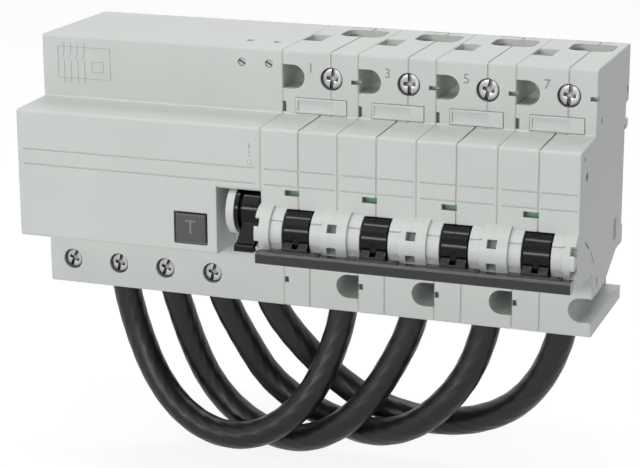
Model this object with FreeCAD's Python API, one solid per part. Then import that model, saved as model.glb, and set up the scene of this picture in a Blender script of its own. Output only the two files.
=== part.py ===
"""Four-pole residual current device for a 35 mm rail: four wide poles on the right, the residual
current unit on the left, and four leads that join them below.  Millimetres, +Z up.  X runs along the
rail with 0 at half the width, the rail's front face is the plane y = 0, z = 0 is the rail's middle,
and the front of the device looks along -Y."""
import FreeCAD, Part
import math
import os

V = FreeCAD.Vector
X_AXIS = V(1, 0, 0)
Y_AXIS = V(0, 1, 0)
Z_AXIS = V(0, 0, 1)

# ---------------------------------------------------------------- driving dimensions
MODULE = 18.0                     # one width unit on the rail
POLE_MODULES = 1.5
UNIT_MODULES = 5.0                # width of the residual current unit
POLE_COUNT = 4
CASE_HEIGHT = 90.0
TIER_DEPTH = 44.0                 # rail face to the front of the terminal tiers
NOSE_DEPTH = 65.0                 # rail face to the front of the middle tier
NOSE_HEIGHT = 44.8
NOSE_FLARE = 0.7                  # the nose is this much taller at its root, on each side
BACK_DEPTH = 5.0                  # how far the upper back reaches behind the rail face
FOOT_DEPTH = 1.6                  # the same for the foot
RAIL_HEIGHT = 35.0
RAIL_THICK = 1.0
RAIL_PLAY = 0.3
HOOK_NOTCH = 6.1                  # height of the notch above the fixed hook
HOOK_GRIP = 1.7                   # the hook and the sliders reach this far behind the rail's edges
SEAT_STEP = -0.25                 # the seat steps back beside the hook and the sliders
WALL = 1.5
SEAT_WALL = 3.4                   # wall in front of the rail
EDGE_ROUND = 1.0
SIDE_CHAMFER = 0.35
CLEAR = 0.3                       # gap between bodies that move past each other
RUNNING = 0.05                    # radial play of a shaft in its bore

# handle, its collars and the tie bar
AXIS_DEPTH = 62.0                 # rail face to the handles' axis
AXIS_DROP = 12.3                  # the axis lies this far below the rail's middle
DRUM_R = 8.3
NARROW_COLLAR_R = 8.6
WIDE_COLLAR_R = 9.6
WIDE_COLLAR_RIGHT = 5.2           # collar parts, from the pole's left side
NARROW_COLLAR_LEFT = 5.5
DRUM_LEFT = 10.0
DRUM_WIDTH = 8.6
COLLAR_GAP = 0.6                  # between the drum and the collars beside it
NARROW_COLLAR_WIDTH = 3.9
WIDE_COLLAR_LEFT = 4.0            # and from its right side
TRUNNION_R = 1.8
TRUNNION_LENGTH = 2.4
TAB_TOP_ANGLE = 14.0              # degrees below the horizontal
TAB_THICK = 4.4
BAR_FRONT = 14.0                  # axis to the front of the tie bar
BAR_DEPTH = 4.8
BAR_HEIGHT = 4.2
BAR_DROP = 8.5                    # axis to the underside of the bar
BAR_OVERHANG = 2.2                # bar's left end, from the poles' left side
BAR_PAD = 0.7
BAR_FACET = 0.8                   # broken edge along the top front of the bar

# terminals of the poles
SCREW_X = 17.5                    # from the pole's left side
SCREW_DROP = 9.2                  # case top to the clamp screws
SCREW_HEAD_R = 3.5
SCREW_HEAD_THICK = 2.6
SCREW_SHANK_R = 2.0
SCREW_RECESS = 0.9                # head below the front of the tier
SCREW_SLOT = 0.9
ENTRY_X = 16.8                    # middle of the wire entry
ENTRY_WIDTH = 15.3
ENTRY_DEPTH = 13.2
ENTRY_BACK = 0.3                  # from the rail face to the entry's back wall
ENTRY_ROUND = 3.6
BUSBAR_SLOT_WIDTH = 7.3
BUSBAR_SLOT_FRONT = 26.0
BUSBAR_SLOT_DEPTH = 12.0
SLIT_WIDTH = 13.0
D_HOLE_WIDTH = 7.9
D_HOLE_R = 4.15
D_HOLE_DEPTH = 24.0
GROOVE_DEPTH = 5.0                # open channel low in the free side of the last pole
GROOVE_RISE_START = 30.0          # rail face to where its roof starts to rise
GROOVE_RISE_END = 8.0
GROOVE_CEILING = 1.0              # thickness left between its roof and the nose's root
CLAMP_WIDTH = 13.2
CLAMP_DEPTH = 14.4
CLAMP_HEIGHT = 11.0
CLAMP_PLATE = 1.3
CLAMP_BOSS = 6.0
CLAMP_TRAVEL = 6.0
BUS_THICK = 1.2
BUS_WIDTH = 10.0
LEAD_ENTRY_DEPTH = 10.1           # rail face to the middle of the lead below each pole

# seams of the case halves, from the pole's left side
TOP_SEAM = 17.5
NOSE_SEAM = 13.5
FOOT_SEAM = 9.5

# details of the front
PRINT_LINE_UPPER = 8.7
PRINT_LINE_LOWER = 3.4
LINE_WIDTH = 0.45
LINE_DEPTH = 0.25
WINDOW_WIDTH = 5.0
WINDOW_HEIGHT = 2.0
WINDOW_Z = 1.1
WINDOW_DEPTH = 4.0                # square windows in the wide collars
SEAM_WIDTH = 0.6                  # fine groove where the case halves meet
SEAM_DEPTH = 0.25
LABEL_LEFT = 4.7
LABEL_WIDTH = 18.3
LABEL_LOW = 23.5
LABEL_HEIGHT = 5.4
LABEL_THICK = 1.0

# slits in the free side of the last pole, each from (y, z) to (y, z)
SIDE_SLITS = [((-56.8, -8.7), (-50.7, -12.4)), ((-47.5, -14.5), (-42.8, -19.6)),
              ((-38.8, -29.0), (-37.2, -25.3))]

# rail sliders
SLIDER_WIDTH = 12.0
SLIDER_THICK = 1.4
SLIDER_NECK = 8.0
SLIDER_INSET = 1.1                # rail face to the wide part of the slider

# inner parts of the poles
ARM_PIVOT_DEPTH = 46.0
ARM_PIVOT_DROP = 2.0
ARM_PIVOT_R = 1.2
ARM_WIDTH = 6.0
ARM_TRAVEL = 10.0
FLAG_REACH = 16.5                 # pivot to the front of the flag
CONTACT_REACH = 18.0
TRIP_DEPTH = 56.6
TRIP_HEIGHT = 12.9
TRIP_R = 1.5
RIVET_R = 1.4
CHUTE_PLATES = 9
CHUTE_PITCH = 1.25
CHUTE_PLATE = 0.7

# residual current unit
UNIT_WALL = 1.8
BASE_FRONT = 4.0                  # the base plate's front, from the rail face
RECESS_WIDTH = 16.0               # handle recess, from the unit's right side
RECESS_TOP = 0.6                  # underside of the rounded lip over the recess
RECESS_LIP_R = 1.4
RECESS_ROOF = 3.8                 # roof behind the lip
RECESS_DEPTH = 17.0
BUTTON_X = -34.5
BUTTON_Z = -14.1
BUTTON_WIDTH = 11.1
BUTTON_HEIGHT = 10.0
BUTTON_GAP = 0.6
BUTTON_STEM_R = 1.5
SPRING_INNER_R = 1.9
SPRING_OUTER_R = 4.0
SPRING_HEIGHT = 2.0
SPRING_THICK = 0.35
LOAD_SCREW_FIRST = 9.0            # from the unit's left side
LOAD_SCREW_DROP = 8.9             # load screws over the case's foot
LOAD_SCREW_R = 3.2
LEAD_SHIFT = 2.3                  # first lead leaves this far right of its load screw
LEAD_PITCH = 19.1
LEAD_EXIT_DEPTH = 8.0
UNIT_AXIS_DEPTH = 58.5            # the unit's own handle axis, from the rail face
UNIT_AXIS_DROP = 7.1
UNIT_DRUM_R = 8.4
UNIT_DRUM_WIDTH = 6.0
UNIT_NECK_R = 7.0
UNIT_NECK_WIDTH = 1.1
UNIT_FLANGE_R = 8.7
UNIT_FLANGE_WIDTH = 1.3
UNIT_COLLAR_WIDTH = 2.8
UNIT_LEVER_LEAN = 9.0             # degrees the lever's left side leans outward
LOAD_WIRE_DEPTH = 23.0            # rail face to the middle of the outgoing wires
LOAD_WIRE_WIDTH = 10.0
SLIDER_SHIFT = 1.2                # the sliders of the unit stand off the leaning leads by this
SLEEVE_WALL = 0.6
AUX_SCREWS = (14.7, 4.9)          # from the unit's right side
AUX_SCREW_DROP = 5.3              # case top to the two small screws
AUX_SCREW_R = 1.4
AUX_ENTRY_R = 1.4                 # round wire entries in the top beside them
AUX_ENTRY_DEPTH = 12.0
BOARD_DEPTH = 52.0
BOARD_THICK = 1.6

# leads: x, rail face to the middle and height over the case's foot
LEAD_R = 5.2
LEAD_1 = [(-87.7, -8.0, 4.0), (-87.7, -8.0, -5.0), (-85.6, -7.9, -17.0), (-81.3, -8.6, -30.5),
          (-74.3, -11.0, -43.8), (-63.6, -14.5, -54.8), (-49.0, -18.0, -61.4),
          (-32.6, -20.0, -61.0), (-18.4, -19.5, -53.1), (-8.6, -17.0, -41.2), (-3.2, -13.7, -28.4),
          (0.2, -10.9, -15.5), (1.25, -10.1, -5.5), (1.25, -10.1, 2.7)]
LEAD_2 = [(-68.6, -8.0, 4.0), (-68.6, -8.0, -4.5), (-66.2, -5.8, -16.5), (-62.6, -3.0, -32.0),
          (-57.0, -0.9, -46.6), (-47.1, -0.7, -58.2), (-31.5, -4.2, -64.8), (-13.2, -12.3, -62.4),
          (2.8, -16.0, -52.9), (13.5, -15.0, -40.8), (20.8, -12.8, -28.0), (26.4, -11.0, -15.5),
          (28.25, -10.1, -5.5), (28.25, -10.1, 2.7)]
LEAD_3 = [(-49.5, -8.0, 4.0), (-49.5, -8.0, -4.5), (-46.8, -6.4, -15.0), (-40.5, -2.7, -29.6),
          (-33.5, 0.8, -43.6), (-22.1, 2.0, -52.9), (-6.6, 0.7, -58.0), (11.2, -7.8, -58.4),
          (28.6, -14.3, -51.3), (41.2, -14.8, -40.0), (49.2, -12.8, -28.0), (53.4, -11.0, -15.5),
          (55.25, -10.1, -5.5), (55.25, -10.1, 2.7)]
LEAD_4 = [(-30.4, -8.0, 4.0), (-30.4, -8.0, -4.5), (-27.5, -6.5, -14.8), (-19.4, -2.5, -27.8),
          (-9.0, 1.3, -39.7), (2.6, 2.5, -48.0), (16.7, 2.7, -53.0), (31.9, 2.5, -54.6),
          (47.7, 1.0, -51.8), (62.9, -3.0, -43.4), (74.0, -7.6, -30.0), (80.3, -10.0, -15.5),
          (82.25, -10.1, -5.5), (82.25, -10.1, 2.7)]

# ---------------------------------------------------------------- sizes that follow
POLE_WIDTH = POLE_MODULES * MODULE
UNIT_WIDTH = UNIT_MODULES * MODULE
WIDTH = UNIT_WIDTH + POLE_COUNT * POLE_WIDTH
UNIT_LEFT = -WIDTH / 2
UNIT_RIGHT = UNIT_LEFT + UNIT_WIDTH
POLE_LEFTS = [UNIT_RIGHT + i * POLE_WIDTH for i in range(POLE_COUNT)]
TOP = CASE_HEIGHT / 2
FOOT = -TOP
SCREW_Z = TOP - SCREW_DROP
LOAD_SCREW_Z = TOP - LOAD_SCREW_DROP
AUX_SCREW_Z = TOP - AUX_SCREW_DROP
LEADS = [[(x, y, FOOT + rise) for x, y, rise in route] for route in (LEAD_1, LEAD_2, LEAD_3, LEAD_4)]
TIER = -TIER_DEPTH
NOSE = -NOSE_DEPTH
NOSE_TOP = NOSE_HEIGHT / 2
NOSE_ROOT = NOSE_TOP + NOSE_FLARE
HOOK_TOP = RAIL_HEIGHT / 2 + RAIL_PLAY + 1.5
HOOK_GAP = RAIL_THICK + RAIL_PLAY
AXIS_Y = -AXIS_DEPTH
AXIS_Z = -AXIS_DROP
UNIT_AXIS_Y = -UNIT_AXIS_DEPTH
UNIT_AXIS_Z = -UNIT_AXIS_DROP
UNIT_DRUM_LEFT = UNIT_RIGHT - CLEAR - UNIT_DRUM_WIDTH
UNIT_FLANGE_LEFT = UNIT_DRUM_LEFT - UNIT_NECK_WIDTH - UNIT_FLANGE_WIDTH
DRUM_RIGHT = DRUM_LEFT + DRUM_WIDTH
SLOT_LEFT = DRUM_LEFT - COLLAR_GAP
SLOT_RIGHT = DRUM_RIGHT + COLLAR_GAP
NARROW_COLLAR_RIGHT = NARROW_COLLAR_LEFT + NARROW_COLLAR_WIDTH
BAR_BACK_Y = AXIS_Y - BAR_FRONT + BAR_DEPTH
BAR_FRONT_Y = AXIS_Y - BAR_FRONT
BAR_LOW = AXIS_Z - BAR_DROP
SCREW_FRONT = TIER + SCREW_RECESS
SCREW_HEAD_BACK = SCREW_FRONT + SCREW_HEAD_THICK
ENTRY_MIDDLE = -ENTRY_BACK - ENTRY_DEPTH / 2
CLAMP_BACK = -ENTRY_BACK - CLEAR
CLAMP_FRONT = CLAMP_BACK - CLAMP_DEPTH
CHAMBER_FRONT = CLAMP_FRONT - CLAMP_BOSS - CLAMP_TRAVEL - 1.0
CHAMBER_LEFT = D_HOLE_WIDTH + 1.3
CHAMBER_RIGHT = POLE_WIDTH - WALL - 0.3
CHAMBER_TOP = TOP - 1.8
CHAMBER_LOW = NOSE_ROOT - 1.0
BUS_FRONT = CLAMP_FRONT + CLAMP_PLATE + CLEAR
SLIDER_TOP = -RAIL_HEIGHT / 2 - RAIL_PLAY
LOAD_SCREWS = [UNIT_LEFT + LOAD_SCREW_FIRST + i * MODULE for i in range(POLE_COUNT)]
LEAD_EXITS = [LOAD_SCREWS[0] + LEAD_SHIFT + i * LEAD_PITCH for i in range(POLE_COUNT)]
RECESS_LEFT = UNIT_RIGHT - RECESS_WIDTH
CAP_BACK = NOSE + 3.2
FLAG_Y = -ARM_PIVOT_DEPTH - FLAG_REACH
ARM_PIVOT_Y = -ARM_PIVOT_DEPTH
ARM_PIVOT_Z = -ARM_PIVOT_DROP


# ---------------------------------------------------------------- helpers
def box(x0, x1, y0, y1, z0, z1):
    return Part.makeBox(x1 - x0, y1 - y0, z1 - z0, V(x0, y0, z0))


def rod_x(radius, x0, x1, y, z):
    return Part.makeCylinder(radius, x1 - x0, V(x0, y, z), X_AXIS)


def rod_y(radius, y0, y1, x, z):
    return Part.makeCylinder(radius, y1 - y0, V(x, y0, z), Y_AXIS)


def rod_z(radius, z0, z1, x, y):
    return Part.makeCylinder(radius, z1 - z0, V(x, y, z0), Z_AXIS)


def fuse(first, *others):
    return first.fuse(list(others)).removeSplitter()


def cut(first, *others):
    return first.cut(list(others))


def rounded_wire(corners):
    """Closed wire through (point, radius) corners; a radius of 0 keeps the corner sharp."""
    edges = []
    ends = []
    count = len(corners)
    for i, (point, radius) in enumerate(corners):
        before = (corners[i - 1][0] - point).normalize()
        after = (corners[(i + 1) % count][0] - point).normalize()
        if radius == 0:
            ends.append((point, point, None))
            continue
        half = math.acos(max(-1.0, min(1.0, before.dot(after)))) / 2
        reach = radius / math.tan(half)
        centre = point + (before + after).normalize() * (radius / math.sin(half))
        middle = centre + (point - centre).normalize() * radius
        ends.append((point + before * reach, point + after * reach, middle))
    for i, (start, end, middle) in enumerate(ends):
        if middle is not None:
            edges.append(Part.Arc(start, middle, end).toShape())
        follow = ends[(i + 1) % count][0]
        if (follow - end).Length > 1e-6:
            edges.append(Part.LineSegment(end, follow).toShape())
    return Part.Wire(edges)


def slab_x(points, x0, x1):
    """Outline of (y, z) or (y, z, radius) points in the plane x0, carried to x1."""
    corners = [(V(x0, p[0], p[1]), p[2] if len(p) > 2 else 0) for p in points]
    return Part.Face(rounded_wire(corners)).extrude(V(x1 - x0, 0, 0))


def slab_z(points, z0, z1):
    """Outline of (x, y) or (x, y, radius) points in the plane z0, carried to z1."""
    corners = [(V(p[0], p[1], z0), p[2] if len(p) > 2 else 0) for p in points]
    return Part.Face(rounded_wire(corners)).extrude(V(0, 0, z1 - z0))


def round_hole_z(x, y, width, depth, radius, z0, z1):
    half_x = width / 2
    half_y = depth / 2
    return slab_z([(x - half_x, y - half_y, radius), (x + half_x, y - half_y, radius),
                   (x + half_x, y + half_y, radius), (x - half_x, y + half_y, radius)], z0, z1)


def turned(shape, degrees):
    """The shape turned about the handles' axis."""
    copy = shape.copy()
    copy.rotate(V(0, AXIS_Y, AXIS_Z), X_AXIS, degrees)
    return copy


def moved(shape, x):
    return shape.translated(V(x, 0, 0))


def flipped(shape):
    """The shape turned half round the Y axis through the middle of a pole."""
    copy = shape.copy()
    copy.rotate(V(POLE_WIDTH / 2, 0, 0), Y_AXIS, 180)
    return copy


def chamfer_ends(shape, planes, size):
    """Break the front and top edges that lie in the given planes of constant x."""
    edges = []
    for edge in shape.Edges:
        bounds = edge.BoundBox
        if bounds.YMin < -1.0 and any(abs(bounds.XMin - x) + abs(bounds.XMax - x) < 1e-6 for x in planes):
            edges.append(edge)
    return shape.makeChamfer(size, edges)


def save(name, *shapes):
    solids = [solid for shape in shapes for solid in shape.Solids]
    Part.makeCompound(solids).exportStep("parts/" + name + ".step")
    volume = sum(solid.Volume for solid in solids)
    print(f"{name:24s} solids {len(solids):3d} volume {volume:10.1f}")


# ---------------------------------------------------------------- outline shared by poles and unit
def case_outline():
    upper_rail = RAIL_HEIGHT / 2 + RAIL_PLAY
    lip = RAIL_HEIGHT / 2 - HOOK_GRIP
    seat = lip - 0.2
    return [(BACK_DEPTH, TOP), (TIER, TOP, EDGE_ROUND), (TIER, NOSE_ROOT, 0.5),
            (NOSE, NOSE_TOP, EDGE_ROUND), (NOSE, -NOSE_TOP, EDGE_ROUND), (TIER, -NOSE_ROOT, 0.5),
            (TIER, FOOT, EDGE_ROUND), (FOOT_DEPTH, FOOT), (FOOT_DEPTH, SLIDER_TOP, 0.3),
            (SEAT_STEP, SLIDER_TOP + 0.5), (SEAT_STEP, -seat), (0, -seat), (0, seat), (SEAT_STEP, seat),
            (SEAT_STEP, upper_rail), (HOOK_GAP, upper_rail), (HOOK_GAP, lip, 0.3),
            (BACK_DEPTH, lip + 0.6, 0.6), (BACK_DEPTH, HOOK_TOP, 0.6), (RAIL_THICK, HOOK_TOP, 1.2),
            (RAIL_THICK, HOOK_TOP + HOOK_NOTCH, 1.2), (BACK_DEPTH, HOOK_TOP + HOOK_NOTCH, 0.6)]


def slider_channel(x, grow):
    """T-shaped channel in the foot for a rail slider, or with grow 0 the slider's own bars."""
    wide = SLIDER_WIDTH / 2 + grow
    neck = SLIDER_NECK / 2 + grow
    back = -SLIDER_INSET + grow
    front = -SLIDER_INSET - SLIDER_THICK - grow
    top = SLIDER_TOP + grow
    low = FOOT - 1 if grow else FOOT + 0.6
    return fuse(box(x - wide, x + wide, front, back, low, top),
                box(x - neck, x + neck, front, BACK_DEPTH, low, top))


def rail_slider(x):
    """Latch that snaps behind the lower edge of the rail and is drawn down to let go."""
    wide = SLIDER_WIDTH / 2
    neck = SLIDER_NECK / 2
    top = SLIDER_TOP - CLEAR
    low = FOOT + 0.6
    plate = box(x - wide, x + wide, -SLIDER_INSET - SLIDER_THICK, -SLIDER_INSET, low, top)
    stem = box(x - neck, x + neck, -SLIDER_INSET - SLIDER_THICK, FOOT_DEPTH, low, top)
    lip = RAIL_HEIGHT / 2 - HOOK_GRIP
    nose = slab_x([(HOOK_GAP, -lip), (BACK_DEPTH, -lip - 1.6, 0.5), (BACK_DEPTH, top - 2.2, 0.5),
                   (FOOT_DEPTH, top - 2.2), (FOOT_DEPTH - 0.6, top), (HOOK_GAP, top)], x - neck, x + neck)
    slot = box(x - 2.5, x + 2.5, -SLIDER_INSET - SLIDER_THICK - 1, FOOT_DEPTH + 1, low + 1.6, low + 3.2)
    return cut(fuse(plate, stem, nose), slot)


# ---------------------------------------------------------------- pole case
def d_hole(depth_back):
    """Half-round hole in the upper tier that is open to the pole's left side."""
    straight = D_HOLE_WIDTH - D_HOLE_R
    bar = box(-1, straight, TIER - 1, depth_back, SCREW_Z - D_HOLE_R, SCREW_Z + D_HOLE_R)
    return fuse(bar, rod_y(D_HOLE_R, TIER - 1, depth_back, straight, SCREW_Z))


def upper_openings():
    """Everything cut into the upper tier of a pole, at the pole's own left side."""
    entry = round_hole_z(ENTRY_X, ENTRY_MIDDLE, ENTRY_WIDTH, ENTRY_DEPTH, ENTRY_ROUND,
                         CHAMBER_LOW + 2, TOP + 1)
    chamber = box(CHAMBER_LEFT, CHAMBER_RIGHT, CHAMBER_FRONT, -ENTRY_BACK, CHAMBER_LOW, CHAMBER_TOP)
    shank = rod_y(SCREW_SHANK_R + CLEAR, SCREW_HEAD_BACK, CHAMBER_FRONT + 1, SCREW_X, SCREW_Z)
    head = rod_y(SCREW_HEAD_R + 0.45, TIER - 1, SCREW_HEAD_BACK + CLEAR, SCREW_X, SCREW_Z)
    notch = box(POLE_WIDTH - 2.5, POLE_WIDTH + 1, TIER - 1, TIER + 3, SCREW_Z - 1.3, SCREW_Z + 0.1)
    return [entry, chamber, shank, head, d_hole(TIER + D_HOLE_DEPTH), notch]


def top_extras():
    busbar = box(-1, BUSBAR_SLOT_WIDTH, -BUSBAR_SLOT_FRONT, BUSBAR_SLOT_DEPTH - BUSBAR_SLOT_FRONT,
                 SCREW_Z, TOP + 1)
    slit = box(ENTRY_X - SLIT_WIDTH / 2 - 1.8, ENTRY_X + SLIT_WIDTH / 2 - 1.8, BACK_DEPTH - 1.8,
               BACK_DEPTH - 0.8, TOP - 3, TOP + 1)
    label = box(LABEL_LEFT, LABEL_LEFT + LABEL_WIDTH, TIER - 1, TIER + LABEL_THICK, LABEL_LOW,
                LABEL_LOW + LABEL_HEIGHT)
    catch = box(-1, 1.3, TIER - 1, TIER + 2.5, LABEL_LOW + 0.2, LABEL_LOW + 3.8)
    return [busbar, slit, label, catch]


def lower_openings():
    """Lower tier: the lead's entry, the load terminal's chamber and the half-round hole."""
    entry_x = POLE_WIDTH - ENTRY_X
    entry = round_hole_z(entry_x, -LEAD_ENTRY_DEPTH, ENTRY_WIDTH, ENTRY_DEPTH, ENTRY_ROUND, FOOT - 1,
                         -CHAMBER_LOW - 2)
    back = -SLIDER_INSET - SLIDER_THICK - 2 * CLEAR - 0.6
    chamber = box(POLE_WIDTH - CHAMBER_RIGHT, POLE_WIDTH - CHAMBER_LEFT, CHAMBER_FRONT, back,
                  -CHAMBER_TOP, -CHAMBER_LOW)
    notch = box(0.2, 1.7, TIER - 1, TIER + 3, -SCREW_Z - 0.7, -SCREW_Z + 1.3)
    return [entry, chamber, flipped(d_hole(TIER + D_HOLE_DEPTH)), notch]


def middle_cavity():
    """Room for the mechanism behind the nose, with passages to both terminal chambers."""
    back = -SEAT_WALL - CLEAR - 0.5
    front = NOSE + 2.2
    room = box(WALL, POLE_WIDTH - WALL, front, back, -NOSE_TOP + 1.6, NOSE_TOP - 1.6)
    upper = box(SCREW_X - 6.2, SCREW_X + 6.2, CHAMBER_FRONT, -9, NOSE_TOP - 2.5, CHAMBER_LOW + 0.5)
    lower = box(FOOT_SEAM - 6.2, FOOT_SEAM + 6.2, CHAMBER_FRONT, -9, -CHAMBER_LOW - 0.5, -NOSE_TOP + 2.5)
    return [room, upper, lower]


def collars():
    """Fixed collars beside the handle drum: half a wide one at each side, a narrow one between."""
    low = AXIS_Z - WIDE_COLLAR_R + 0.9
    shapes = [rod_x(WIDE_COLLAR_R, 0, WIDE_COLLAR_RIGHT, AXIS_Y, AXIS_Z),
              rod_x(NARROW_COLLAR_R, WIDE_COLLAR_RIGHT - 1, NARROW_COLLAR_RIGHT, AXIS_Y, AXIS_Z),
              rod_x(NARROW_COLLAR_R, SLOT_RIGHT, SLOT_RIGHT + NARROW_COLLAR_WIDTH + 1, AXIS_Y, AXIS_Z),
              rod_x(WIDE_COLLAR_R, POLE_WIDTH - WIDE_COLLAR_LEFT, POLE_WIDTH, AXIS_Y, AXIS_Z)]
    webs = [box(WIDE_COLLAR_RIGHT - 1, NARROW_COLLAR_RIGHT, AXIS_Y - 1, AXIS_Y + 9, low, AXIS_Z + 4),
            box(SLOT_RIGHT, SLOT_RIGHT + NARROW_COLLAR_WIDTH + 1, AXIS_Y - 1, AXIS_Y + 9, low, AXIS_Z + 4)]
    return shapes + webs


def collar_cuts():
    """Square windows at the joint of the wide collars and fine steps on the narrow ones."""
    cuts = []
    for side in (0, POLE_WIDTH):
        for angle in (26.5, -21.0):
            front = AXIS_Y - WIDE_COLLAR_R
            window = box(side - 1.6, side + 1.6, front - 1, front + WINDOW_DEPTH, AXIS_Z - 1.45,
                         AXIS_Z + 1.45)
            cuts.append(turned(window, -angle))
    for left in (NARROW_COLLAR_LEFT, SLOT_RIGHT):
        for angle in (34.0, -18.0):
            line = box(left - 0.2, left + NARROW_COLLAR_WIDTH + 0.4, AXIS_Y - NARROW_COLLAR_R - 1,
                       AXIS_Y - NARROW_COLLAR_R + 0.3, AXIS_Z - 0.2, AXIS_Z + 0.2)
            cuts.append(turned(line, -angle))
    return cuts


def drum_room():
    return rod_x(DRUM_R + CLEAR, SLOT_LEFT, SLOT_RIGHT, AXIS_Y, AXIS_Z)


def bores():
    trip = rod_x(TRIP_R + RUNNING, -1, POLE_WIDTH + 1, -TRIP_DEPTH, TRIP_HEIGHT)
    pivot = rod_x(ARM_PIVOT_R + RUNNING, WALL - 0.9, POLE_WIDTH - WALL + 0.9, ARM_PIVOT_Y, ARM_PIVOT_Z)
    trunnions = rod_x(TRUNNION_R + RUNNING, DRUM_LEFT - TRUNNION_LENGTH - CLEAR,
                      DRUM_RIGHT + TRUNNION_LENGTH + CLEAR, AXIS_Y, AXIS_Z)
    return [trip, pivot, trunnions] + [rod_x(RIVET_R, -1, POLE_WIDTH + 1, y, z) for y, z in rivet_places()]


def rivet_places():
    return [(TIER + 6.6, NOSE_ROOT + 4.0), (TIER + 6.6, -NOSE_ROOT - 4.0), (BACK_DEPTH - 2.6, SCREW_Z - 6.0)]


def front_marks(x0, x1):
    """Two fine grooves across the nose."""
    return [box(x0, x1, NOSE - 1, NOSE + LINE_DEPTH, z - LINE_WIDTH / 2, z + LINE_WIDTH / 2)
            for z in (PRINT_LINE_UPPER, PRINT_LINE_LOWER)]


def flag_window():
    low = WINDOW_Z - WINDOW_HEIGHT / 2
    return box(NOSE_SEAM - WINDOW_WIDTH + 0.1, NOSE_SEAM + 0.1, NOSE - 1, NOSE + 3, low, low + WINDOW_HEIGHT)


def side_marks():
    """Shallow recesses in the free right side of the last pole."""
    side = POLE_WIDTH
    deep = side - 0.8
    oval = slab_x([(-8.4, -12.2, 2.0), (-12.7, -12.2, 2.0), (-12.7, -20.6, 2.0),
                   (-8.4, -20.6, 2.0)], deep, side + 1)
    slits = []
    for start, end in SIDE_SLITS:
        length = math.hypot(end[0] - start[0], end[1] - start[1])
        slit = box(deep, side + 1, 0, length, -0.35, 0.35)
        slit.rotate(V(0, 0, 0), X_AXIS, math.degrees(math.atan2(end[1] - start[1], end[0] - start[0])))
        slits.append(slit.translated(V(0, start[0], start[1])))
    dimple = rod_x(0.9, deep, side + 1, NOSE + 4.7, NOSE_TOP - 3.0)
    return [oval, dimple, side_groove()] + slits


def side_groove():
    """Open channel from the half-round hole through to the back of the foot."""
    front = TIER + D_HOLE_DEPTH - 1
    low = -SCREW_Z - D_HOLE_R
    start = -SCREW_Z + D_HOLE_R
    high = -NOSE_ROOT - GROOVE_CEILING
    return slab_x([(-GROOVE_RISE_START, low), (FOOT_DEPTH + 1, low), (FOOT_DEPTH + 1, high),
                   (-GROOVE_RISE_END, high, 2.0), (front, start + 2.0), (-GROOVE_RISE_START, start)],
                  POLE_WIDTH - GROOVE_DEPTH, POLE_WIDTH + 1)


def seam_grooves():
    """Grooves along the joint of the case halves on the faces that show."""
    half = SEAM_WIDTH / 2
    top = (TOP_SEAM - half, TOP_SEAM + half)
    nose = (NOSE_SEAM - half, NOSE_SEAM + half)
    foot = (FOOT_SEAM - half, FOOT_SEAM + half)
    return [box(*top, TIER - 1, TIER + SEAM_DEPTH, NOSE_ROOT, TOP + 1),
            box(*top, TIER - 1, BACK_DEPTH + 1, TOP - SEAM_DEPTH, TOP + 1),
            box(*nose, NOSE - 1, NOSE + SEAM_DEPTH, -NOSE_ROOT - 1, NOSE_ROOT + 1),
            box(*nose, NOSE - 1, TIER + 0.5, NOSE_TOP - SEAM_DEPTH, NOSE_ROOT + 1),
            box(*nose, NOSE - 1, TIER + 0.5, -NOSE_ROOT - 1, -NOSE_TOP + SEAM_DEPTH),
            box(*foot, TIER - 1, TIER + SEAM_DEPTH, FOOT - 1, -NOSE_ROOT),
            box(*foot, TIER - 1, FOOT_DEPTH + 1, FOOT - 1, FOOT + SEAM_DEPTH)]


def pole_case(last):
    body = slab_x(case_outline(), 0, POLE_WIDTH)
    body = chamfer_ends(body, (0, POLE_WIDTH), SIDE_CHAMFER)
    body = cut(body, *(middle_cavity() + seam_grooves()))
    body = fuse(body, *collars())
    removed = upper_openings() + top_extras() + lower_openings() + collar_cuts() + bores()
    removed += [drum_room(), flag_window(), slider_channel(POLE_WIDTH / 2, CLEAR)]
    removed += front_marks(1.5, POLE_WIDTH - 1.0)
    if last:
        removed += side_marks()
    body = cut(body, *removed)
    far = 200
    left = fuse(box(-far, TOP_SEAM, -far, far, NOSE_ROOT, far),
                box(-far, NOSE_SEAM, -far, far, -NOSE_ROOT, NOSE_ROOT),
                box(-far, FOOT_SEAM, -far, far, -far, -NOSE_ROOT))
    left_half = body.common(left)
    right_half = body.cut(left)
    return left_half, right_half


def largest(shape):
    return max(shape.Solids, key=lambda solid: solid.Volume)


# ---------------------------------------------------------------- handle, tie bar and contacts
def tab_outline():
    """Section of the handle's tab, from inside the drum to the tie bar."""
    angle = math.radians(TAB_TOP_ANGLE)
    root = DRUM_R * 0.6
    top_y = AXIS_Y - DRUM_R * math.cos(angle)
    top_z = AXIS_Z - DRUM_R * math.sin(angle)
    end = BAR_BACK_Y - BAR_DEPTH * 0.55
    end_top = BAR_LOW + BAR_HEIGHT - 0.9
    return [(AXIS_Y - root, AXIS_Z - 1.0), (top_y, top_z), (end, end_top), (end, BAR_LOW + 1.0),
            (BAR_BACK_Y + 0.4, BAR_LOW + 0.7), (AXIS_Y - root, AXIS_Z - TAB_THICK - 1.6)]


def handle_tab(x0, x1):
    return slab_x(tab_outline(), x0, x1)


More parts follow.
